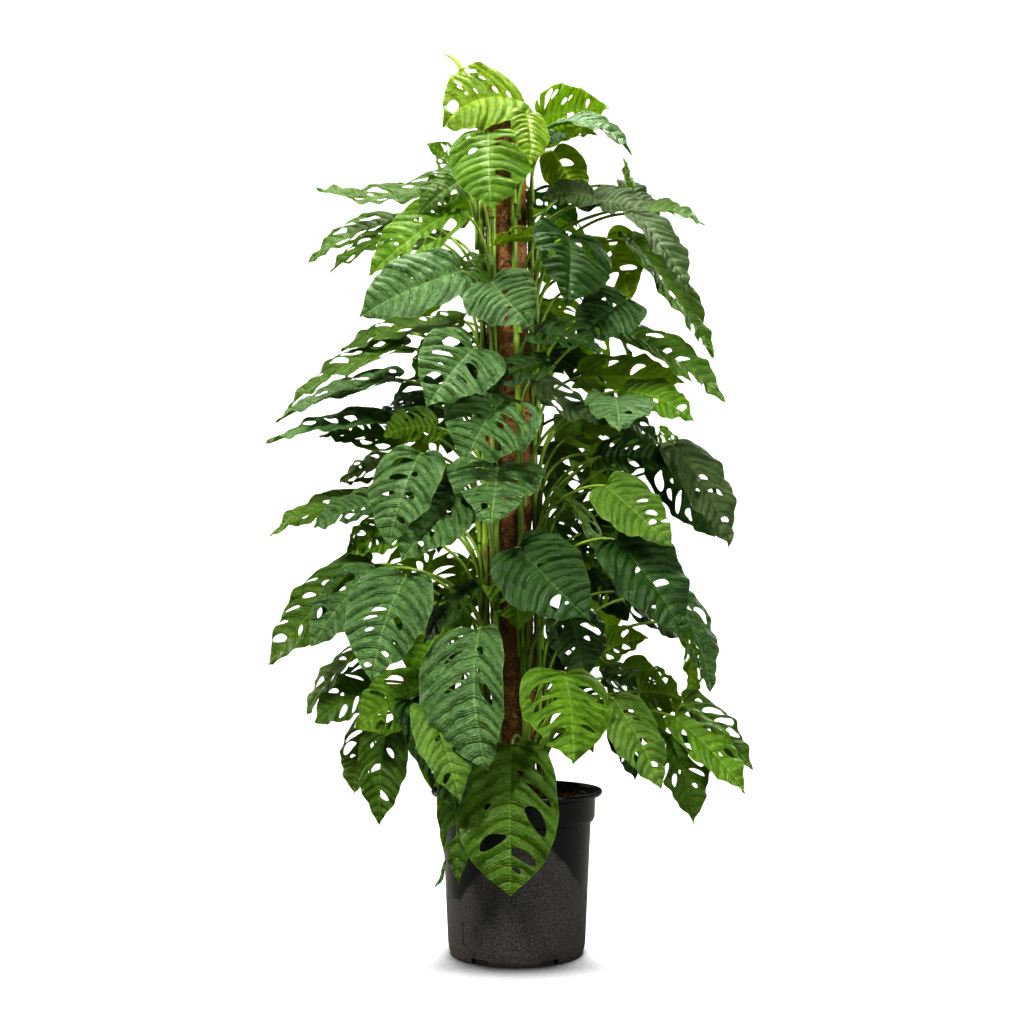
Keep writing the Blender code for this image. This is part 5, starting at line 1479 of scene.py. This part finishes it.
def apply_modifiers(obj):
    graph = bpy.context.evaluated_depsgraph_get()
    mesh = bpy.data.meshes.new_from_object(obj.evaluated_get(graph))
    obj.modifiers.clear()
    obj.data = mesh


def foot_cutter():
    edit = bmesh.new()
    for i in range(NOTCHES):
        heading = NOTCH_TURN + math.tau * i / NOTCHES
        for vert in bmesh.ops.create_cube(edit, size=1.0)["verts"]:
            depth, width, height = (vert.co[k] * NOTCH_SIZE[k] for k in range(3))
            along = NOTCH_RADIUS + depth
            vert.co = (
                along * math.cos(heading) - width * math.sin(heading),
                along * math.sin(heading) + width * math.cos(heading),
                height,
            )
    return edited("foot_notches", edit)


def drain_cutter():
    edit = bmesh.new()
    size = {"radius1": DRAIN_RADIUS, "radius2": DRAIN_RADIUS, "depth": 4 * POT_FLOOR}
    for i in range(DRAIN_HOLES):
        heading = NOTCH_TURN + math.tau * (i + 0.5) / DRAIN_HOLES
        hole = bmesh.ops.create_cone(edit, cap_ends=True, segments=DRAIN_SEGMENTS, **size)["verts"]
        place = Vector((DRAIN_CIRCLE * math.cos(heading), DRAIN_CIRCLE * math.sin(heading), 0.0))
        bmesh.ops.translate(edit, verts=hole, vec=place)
    return edited("drain_holes", edit)


# The peat's top reaches the wall of the pot, with crumbs on it between two shares of its area.
PEAT_REACH = POT_INNER[5][0] - 0.0004
PEAT_RINGS = 42
PEAT_SPOKES = 110
PEAT_ROUGHNESS = 0.0022
PEAT_CRUMBS = 420
CRUMB_SIZE = (0.0016, 0.0048)
CRUMB_SPREAD = (0.08, 0.93)
CRUMB_STRETCH = (0.6, 1.2)
CRUMB_SINK = 0.2
CRUMB_JAG = 0.35


def peat_height(x, y):
    """Top of the peat: its solid's, roughened."""
    radius = math.hypot(x, y)
    edge = lerp(SOIL_TOP, SOIL_EDGE, min(max((radius - SOIL_FLAT) / (POT_INNER[5][0] - SOIL_FLAT), 0.0), 1.0))
    lumps = noise.fractal(Vector((x, y, 0.0)) * 60.0, 0.6, 2.2, 4)
    return edge + PEAT_ROUGHNESS * (lumps - 0.2)


def make_peat():
    """Crumbly top of the peat, down to the floor of the pot as its solid is."""
    verts = []
    for i in range(PEAT_RINGS + 1):
        radius = PEAT_REACH * i / PEAT_RINGS
        for turn in circle(PEAT_SPOKES):
            x, y = radius * math.cos(turn), radius * math.sin(turn)
            verts.append((x, y, peat_height(x, y)))
    for wall, z in reversed(POT_INNER[1:6]):
        radius = wall - SOIL_CLEARANCE
        for turn in circle(PEAT_SPOKES):
            verts.append((radius * math.cos(turn), radius * math.sin(turn), max(z, POT_FLOOR + GAP)))
    faces = [(a, d, c, b) for a, b, c, d in ring_faces(len(verts) // PEAT_SPOKES, PEAT_SPOKES)]
    faces.append(tuple(reversed(range(len(verts) - PEAT_SPOKES, len(verts)))))
    peat = new_piece("peat_bed", verts, faces, "peat", [peat_look()])
    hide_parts("peat")


def make_crumbs():
    """Loose crumbs on the peat."""
    draw = random.Random("crumbs")
    edit = bmesh.new()
    for _ in range(PEAT_CRUMBS):
        radius = PEAT_REACH * math.sqrt(draw.uniform(*CRUMB_SPREAD))
        turn = draw.uniform(0.0, math.tau)
        x, y = radius * math.cos(turn), radius * math.sin(turn)
        size = draw.uniform(*CRUMB_SIZE)
        crumb = bmesh.ops.create_icosphere(edit, subdivisions=1, radius=size)["verts"]
        stretch = [draw.uniform(*CRUMB_STRETCH) for _ in range(3)]
        place = Vector((x, y, peat_height(x, y) + CRUMB_SINK * size))
        for vert in crumb:
            jag = 1.0 + CRUMB_JAG * noise.noise(vert.co * 900.0 + place * 70.0)
            vert.co = Vector([c * s for c, s in zip(vert.co, stretch)]) * jag + place
    crumbs = edited("peat_crumbs", edit)
    crumbs.data.materials.append(peat_look())
    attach(crumbs, "root")


# Coir mat: the rings that close its frayed top are given by their share of its radius and their depth below
# its edge. Fibres: their lean in radians, how far they stand off and how much they curl.
MAT_STEPS = 110
MAT_LEVELS = 300
MAT_RIDGES = 0.013
MAT_RIDGE_HEIGHT = 0.0020
MAT_LUMPS = 0.0020
MAT_INSET = 0.0012
MAT_TOP_RINGS = ((0.82, 0.001), (0.6, 0.004), (0.3, 0.006))
MAT_FRAY = 0.002
FIBRES = 4200
FIBRE_LENGTH = (0.012, 0.034)
FIBRE_RADIUS = (0.00016, 0.00032)
FIBRE_STEPS = 4
FIBRE_LEAN = 0.9
FIBRE_OFF = (0.0002, 0.0022)
FIBRE_CURL = 0.6


def mat_radius(heading, z):
    """Radius of the coir mat: the solid's, with the ridges of its wrap and its lumps."""
    spot = compass(heading) * POLE_RADIUS + Vector((0.0, 0.0, z))
    wrap = z / MAT_RIDGES + 0.35 * math.sin(2.0 * heading) + noise.noise(spot * 12.0)
    ridge = abs(math.sin(math.pi * wrap)) ** 0.6
    lumps = noise.fractal(spot * 75.0, 0.7, 2.1, 4)
    return pole_radius(z) - MAT_INSET + MAT_RIDGE_HEIGHT * (ridge - 0.7) + MAT_LUMPS * lumps * 0.6


def make_mat():
    """Coir mat round the pole, with its loose, frayed end."""
    levels = [lerp(POLE_LEVELS[0], POLE_LEVELS[-1], i / MAT_LEVELS) for i in range(MAT_LEVELS + 1)]
    headings = circle(MAT_STEPS)
    verts = [by_pole(heading, z, mat_radius(heading, z)) for z in levels for heading in headings]
    for share, drop in MAT_TOP_RINGS:
        for heading in headings:
            spot = by_pole(heading, levels[-1], mat_radius(heading, levels[-1]) * share)
            verts.append(spot - Vector((0.0, 0.0, drop - MAT_FRAY * noise.noise(spot * 120.0))))
    faces = ring_faces(len(verts) // MAT_STEPS, MAT_STEPS)
    faces.append(tuple(range(len(verts) - MAT_STEPS, len(verts))))
    faces.append(tuple(reversed(range(MAT_STEPS))))
    mat = new_piece("coir_mat", verts, faces, "coir", [coir_mat()])
    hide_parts("coir_pole")


def make_fibres():
    """Loose fibres that lie in the coir mat and stand off it."""
    draw = random.Random("fibres")
    found = []
    for _ in range(FIBRES):
        z = draw.uniform(SOIL_TOP, POLE_LEVELS[-1] - 0.002)
        heading = draw.uniform(0.0, math.tau)
        length = draw.uniform(*FIBRE_LENGTH)
        lean = draw.gauss(0.0, FIBRE_LEAN)
        off = draw.uniform(*FIBRE_OFF)
        curl = draw.uniform(-FIBRE_CURL, FIBRE_CURL)
        places = []
        for i in range(FIBRE_STEPS):
            share = i / (FIBRE_STEPS - 1)
            turn = lean + curl * (share - 0.5)
            around = heading + (share - 0.5) * length * math.cos(turn) / POLE_RADIUS
            level = min(max(z + (share - 0.5) * length * math.sin(turn), SOIL_TOP), POLE_LEVELS[-1])
            reach = mat_radius(around, level) + off * math.sin(math.pi * share) - 0.0002
            places.append(by_pole(around, level, reach))
        found.append(tube(places, [draw.uniform(*FIBRE_RADIUS)] * FIBRE_STEPS, 3))
    new_piece("coir_fibres", *joined(found), "coir", [coir_fibre()])


NODE_SPACING = 0.058
NODE_SWELL = 0.26
NODE_WIDTH = 0.005
STEM_RINGS = 0.0035
STEM_SIDES = 14

# Aerial roots: none grows near the ends of a stem, and each thins towards its tip by a share.
ROOT_RADIUS = 0.0011
ROOT_THINNING = 0.7
ROOT_STEPS = 8
ROOT_SIDES = 6
ROOT_ENDS = 0.03
ROOT_LENGTH = (0.02, 0.055)
ROOT_SPACING = (0.025, 0.075)
ROOT_OFF = 0.0006


def make_stem(stem, points):
    """Climbing stem with a swollen node at each leaf scar."""
    low, high = points[0][0].z, points[-1][0].z
    count = math.ceil((high - low) / STEM_RINGS)
    phase = random.Random(stem.name).uniform(0.0, NODE_SPACING)
    places = []
    radii = []
    for i in range(count + 1):
        z = lerp(low, high, i / count)
        middle, _, radius = stem_at(points, z)
        off = math.remainder(z - phase, NODE_SPACING)
        places.append(middle)
        radii.append(radius * (0.96 + NODE_SWELL * math.exp(-((off / NODE_WIDTH) ** 2))))
    verts, faces = tube(places, radii, STEM_SIDES)
    piece = new_piece(f"{stem.name}_bark", verts, faces, "stem_green", [stem_look()])
    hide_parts(stem.name)


def make_roots(stems):
    """Aerial roots that leave the stems at their nodes and cling to the coir."""
    draw = random.Random("roots")
    found = []
    for points in stems:
        z = points[0][0].z + ROOT_ENDS
        while z < points[-1][0].z - ROOT_ENDS:
            middle, _, radius = stem_at(points, z)
            out = middle - pole_middle(z)
            heading = math.atan2(out.y, out.x)
            way = draw.choice((-1.0, 1.0))
            length = draw.uniform(*ROOT_LENGTH)
            places = []
            radii = []
            for i in range(ROOT_STEPS):
                share = i / (ROOT_STEPS - 1)
                around = heading + way * (0.1 + share * length / POLE_RADIUS)
                level = z - 0.014 * share + 0.004 * math.sin(5.0 * share + z * 90.0)
                level = min(max(level, SOIL_TOP), POLE_LEVELS[-1])
                reach = lerp(out.length - 0.5 * radius, mat_radius(around, level), min(1.0, 3 * share))
                places.append(by_pole(around, level, reach + ROOT_OFF))
                radii.append(ROOT_RADIUS * (1.0 - ROOT_THINNING * i / (ROOT_STEPS - 1)))
            found.append(tube(places, radii, ROOT_SIDES))
            z += draw.uniform(*ROOT_SPACING)
    new_piece("aerial_roots", *joined(found), "coir", [root_look()])


def make_shoot(shoot):
    """Rolled new leaf at the top, drawn through its solid's points."""
    line = curve_through([(*place, radius) for place, radius in shoot], 8)
    places = [Vector(row[:3]) for row in line]
    verts, faces = tube(places, [max(row[3], 0.0006) for row in line], 12)
    piece = new_piece("shoot_roll", verts, faces, "leaf_young", [petiole_green("young")])
    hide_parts("shoot")


# The dried curl: points as x, height and depth in centimetres, its radius and its thickness as a share.
CURL = (
    (-8.4, 13.0, -13.9), (-9.2, 13.0, -14.0), (-10.0, 12.4, -13.9),
    (-10.3, 11.4, -13.8), (-10.6, 10.0, -13.8), (-11.5, 8.9, -13.7),
)
CURL_RADIUS = 0.0042
CURL_THICKNESS = 0.35


def make_curl():
    """Dried, curled end of a leaf that hangs beside the pot."""
    line = curve_through([tuple(seen(*place)) for place in CURL], 6)
    last = len(line) - 1
    radii = [CURL_RADIUS * (0.25 + 0.75 * math.sin(math.pi * (i / last) ** 2.2)) for i in range(last + 1)]
    verts, faces = tube([Vector(row) for row in line], radii, 8, CURL_THICKNESS)
    new_piece("dried_curl", verts, faces, "leaf_olive", [leaf_top("deep")])


# Leaves that fill the back and the inside: their number, tries, and the limits that they are drawn from.
FILL_LEAVES = 56
FILL_TRIES = 14
FILL_HEIGHTS = (0.30, 1.13)
FILL_HEADINGS = (-12.0, 192.0)
FILL_LEVELS = (0.25, 0.45, 0.70, 0.90, 1.10, 1.20)
FILL_BREADTHS = (0.25, 0.29, 0.29, 0.25, 0.19, 0.13)
FILL_LENGTHS = (0.090, 0.135)
FILL_DROOPS = (15.0, 70.0)
FILL_DEPTH_LOSS = 0.22
FILL_OUT = (0.62, 1.0)
FILL_LEAST_REACH = 0.055
FILL_YAW = 0.5
FILL_ROLL = 0.5
FILL_WIDTHS = (0.72, 0.86)
FILL_ARCHES = (0.6, 1.6)
FILL_TONES = ("mid", "mid", "deep", "bright", "olive", "dusk")


def leaf_at(name, base, tip, normal, width, arch, tone):
    """Row of a leaf that is given by the places of its ends and by the direction of its upper face."""

    def read(place):
        share = (place.y - OBSERVER.y) / -OBSERVER.y
        on_plane = OBSERVER + (place - OBSERVER) / share
        return on_plane.x / CM, on_plane.z / CM, place.y / CM

    plain = Leaf(name, read(base), read(tip), width, 0.0, arch, 10, 0, tone)
    edge = Blade(plain, 0).normal
    facing = Blade(plain._replace(turn=90.0), 0).normal
    return plain._replace(turn=math.degrees(math.atan2(normal.dot(facing), normal.dot(edge))))


def filling_leaf(number, draw, middles):
    """Leaf of the back or the inside of the plant, as far from the other leaves as any of some tries."""
    best = None
    for _ in range(FILL_TRIES):
        z = draw.uniform(*FILL_HEIGHTS)
        heading = math.radians(draw.uniform(*FILL_HEADINGS))
        out = compass(heading)
        breadth = float(np.interp(z, FILL_LEVELS, FILL_BREADTHS)) * (1.0 - FILL_DEPTH_LOSS * abs(out.y))
        length = draw.uniform(*FILL_LENGTHS)
        droop = math.radians(draw.uniform(*FILL_DROOPS))
        reach = max(draw.uniform(*FILL_OUT) * breadth - length * math.cos(droop), FILL_LEAST_REACH)
        along = compass(heading + draw.uniform(-FILL_YAW, FILL_YAW)) * math.cos(droop)
        along -= Vector((0.0, 0.0, math.sin(droop)))
        base = pole_middle(z) + out * reach
        middle = base + along * (0.5 * length)
        room = min((middle - other).length for other in middles)
        if best is None or room > best[0]:
            best = (room, base, along, length, middle)
    _, base, along, length, middle = best
    across = along.cross(Vector((0.0, 0.0, 1.0))).normalized()
    normal = across.cross(along)
    roll = draw.uniform(-FILL_ROLL, FILL_ROLL)
    normal = normal * math.cos(roll) + across * math.sin(roll)
    tone = draw.choice(FILL_TONES)
    width = length / CM * draw.uniform(*FILL_WIDTHS)
    arch = draw.uniform(*FILL_ARCHES)
    return leaf_at(f"leaf_fill_{number:02d}", base, base + along * length, normal, width, arch, tone), middle


def place_leaves(stems, shoot):
    """Every leaf with its blade and its seat: the frame's own first, as their solids were placed."""
    fixed = [pole_obstacle(), *pot_obstacles(), *(tube_obstacle(points) for points in [*stems, shoot])]
    placed = []
    found = []

    def place(leaf):
        seat = settle_leaf(leaf, stems, fixed, placed)
        if seat:
            blade, start, up = seat
            placed.append(Obstacle(*loft(petiole_sections(blade, start, up, 0.0) + blade.sections(0.0))))
            found.append((leaf, blade, start, up))

    for leaf in LEAVES + MORE_LEAVES:
        place(leaf)
    draw = random.Random("fill")
    middles = [(blade.base + blade.tip) / 2.0 for _, blade, _, _ in found]
    for number in range(FILL_LEAVES):
        leaf, middle = filling_leaf(number, draw, middles)
        middles.append(middle)
        place(leaf)
    return found


def make_plant():
    """Stems, new leaf, roots, the dried curl and the leaves."""
    stems = [stem_points(stem) for stem in STEMS]
    for stem, points in zip(STEMS, stems):
        make_stem(stem, points)
    top, up, radius = stem_at(stems[0], STEMS[0].top)
    shoot = [(top + up * GAP, radius), (top + up * SHOOT_RISE, radius)]
    shoot += [(seen(*place), radius) for place, radius in SHOOT]
    make_shoot(shoot)
    make_roots(stems)
    make_curl()
    held = {leaf.name for leaf in LEAVES}
    for leaf, blade, start, up in place_leaves(stems, shoot):
        obj = make_leaf(leaf, blade, start, up, leaf.name in held)
        if leaf.name in held:
            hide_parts(leaf.name)


# The photograph's view: focal length in pixels of a frame 1024 pixels wide, on a sensor 36 mm wide.
FRAME_SIDE = 1024
FOCAL_PIXELS = 1400.0
SENSOR = 36.0
CAMERA_TILT = math.radians(4.67)


def make_camera():
    data = bpy.data.cameras.new("camera")
    data.sensor_width = SENSOR
    data.lens = FOCAL_PIXELS / FRAME_SIDE * SENSOR
    data.clip_start = 0.01
    camera = add_object("camera", data)
    camera.location = OBSERVER
    camera.rotation_euler = (math.radians(90.0) + CAMERA_TILT, 0.0, 0.0)
    bpy.context.scene.camera = camera


def add_light(name, place, target, size, power, colour):
    data = bpy.data.lights.new(name, "AREA")
    data.shape = "RECTANGLE"
    data.size, data.size_y = size
    data.energy = power
    data.color = colour
    light = add_object(name, data)
    light.location = place
    light.rotation_euler = (Vector(target) - Vector(place)).to_track_quat("-Z", "Y").to_euler()


# Strength of the surroundings as a light and as the backdrop. The floor scatters light by its colour, and the
# camera sees it glow as bright as the backdrop apart from a painted soft shadow where something stands close
# to it, which is painted fainter behind.
SURROUNDINGS = 0.10
BACKDROP = 1.15
FLOOR_BOUNCE = (0.25, 0.25, 0.23)
SHADOW_REACH = 0.30
SHADOW_OPEN = (0.46, 0.92)
SHADOW_GLOW = (0.02, 1.15)
SHADOW_DEPTHS = (-0.11, 0.0)
SHADOW_BEHIND = 0.16
FLOOR_SIDE = 30.0
# Lights: name, place, target, size, power and colour.
LIGHTS = (
    ("key_left", (-1.6, -2.0, 2.9), (0.0, 0.0, 0.7), (0.6, 0.6), 168.0, (1.0, 0.985, 0.95)),
    ("fill_right", (2.3, -1.9, 1.7), (0.0, 0.0, 0.6), (0.8, 1.4), 76.0, (1.0, 1.0, 1.0)),
    ("top", (0.0, 0.2, 3.0), (0.0, 0.0, 0.8), (0.8, 0.8), 78.0, (1.0, 0.99, 0.96)),
    ("back_left", (-2.2, 1.3, 1.1), (0.0, 0.0, 0.5), (0.5, 1.8), 34.0, (1.0, 1.0, 1.0)),
    ("back_right", (1.6, 2.2, 2.0), (0.0, 0.0, 0.7), (1.0, 1.4), 34.0, (1.0, 1.0, 1.0)),
)


def floor_look():
    """White floor that throws light back; the camera sees it glow as the backdrop with a painted soft shadow
    on it.
    """
    look = Look("floor_white")
    direct = look.node("ShaderNodeLightPath").outputs["Is Camera Ray"]
    bounce = look.surface(FLOOR_BOUNCE, 0.9, Specular_IOR_Level=0.0)
    depth = look.node("ShaderNodeSeparateXYZ", {0: look.places()}).outputs[1]
    # The shadow is painted: ambient occlusion, lifted behind the pot, sets how brightly the floor glows for
    # the camera.
    open_sky = look.node("ShaderNodeAmbientOcclusion", {"Distance": SHADOW_REACH}).outputs["AO"]
    open_sky = look.total((open_sky, 1.0), (look.span(depth, *SHADOW_DEPTHS, 0.0, SHADOW_BEHIND), 1.0))
    glow = look.node("ShaderNodeEmission", {"Strength": look.span(open_sky, *SHADOW_OPEN, *SHADOW_GLOW)})
    return look.finish(look.mix(direct, bounce, glow.outputs[0]))


def make_studio():
    """White floor with a painted soft shadow, white surroundings and the lights."""
    scene = bpy.context.scene
    scene.view_settings.view_transform = "Standard"
    scene.view_settings.look = "High Contrast"
    world = bpy.data.worlds.new("studio")
    world.use_nodes = True
    tree = world.node_tree
    background = tree.nodes["Background"]
    background.inputs["Color"].default_value = (1.0, 1.0, 1.0, 1.0)
    path = tree.nodes.new("ShaderNodeLightPath")
    strength = tree.nodes.new("ShaderNodeMapRange")
    strength.inputs["To Min"].default_value = SURROUNDINGS
    strength.inputs["To Max"].default_value = BACKDROP
    tree.links.new(path.outputs["Is Camera Ray"], strength.inputs["Value"])
    tree.links.new(strength.outputs["Result"], background.inputs["Strength"])
    scene.world = world
    mesh = bpy.data.meshes.new("studio_floor")
    corners = [(x * FLOOR_SIDE, y * FLOOR_SIDE, 0.0) for x, y in ((-1, -1), (1, -1), (1, 1), (-1, 1))]
    mesh.from_pydata(corners, [], [(0, 1, 2, 3)])
    mesh.materials.append(floor_look())
    add_object("studio_floor", mesh)
    for light in LIGHTS:
        add_light(*light)


make_camera()
make_studio()
make_pot()
make_peat()
make_crumbs()
make_mat()
make_fibres()
make_plant()
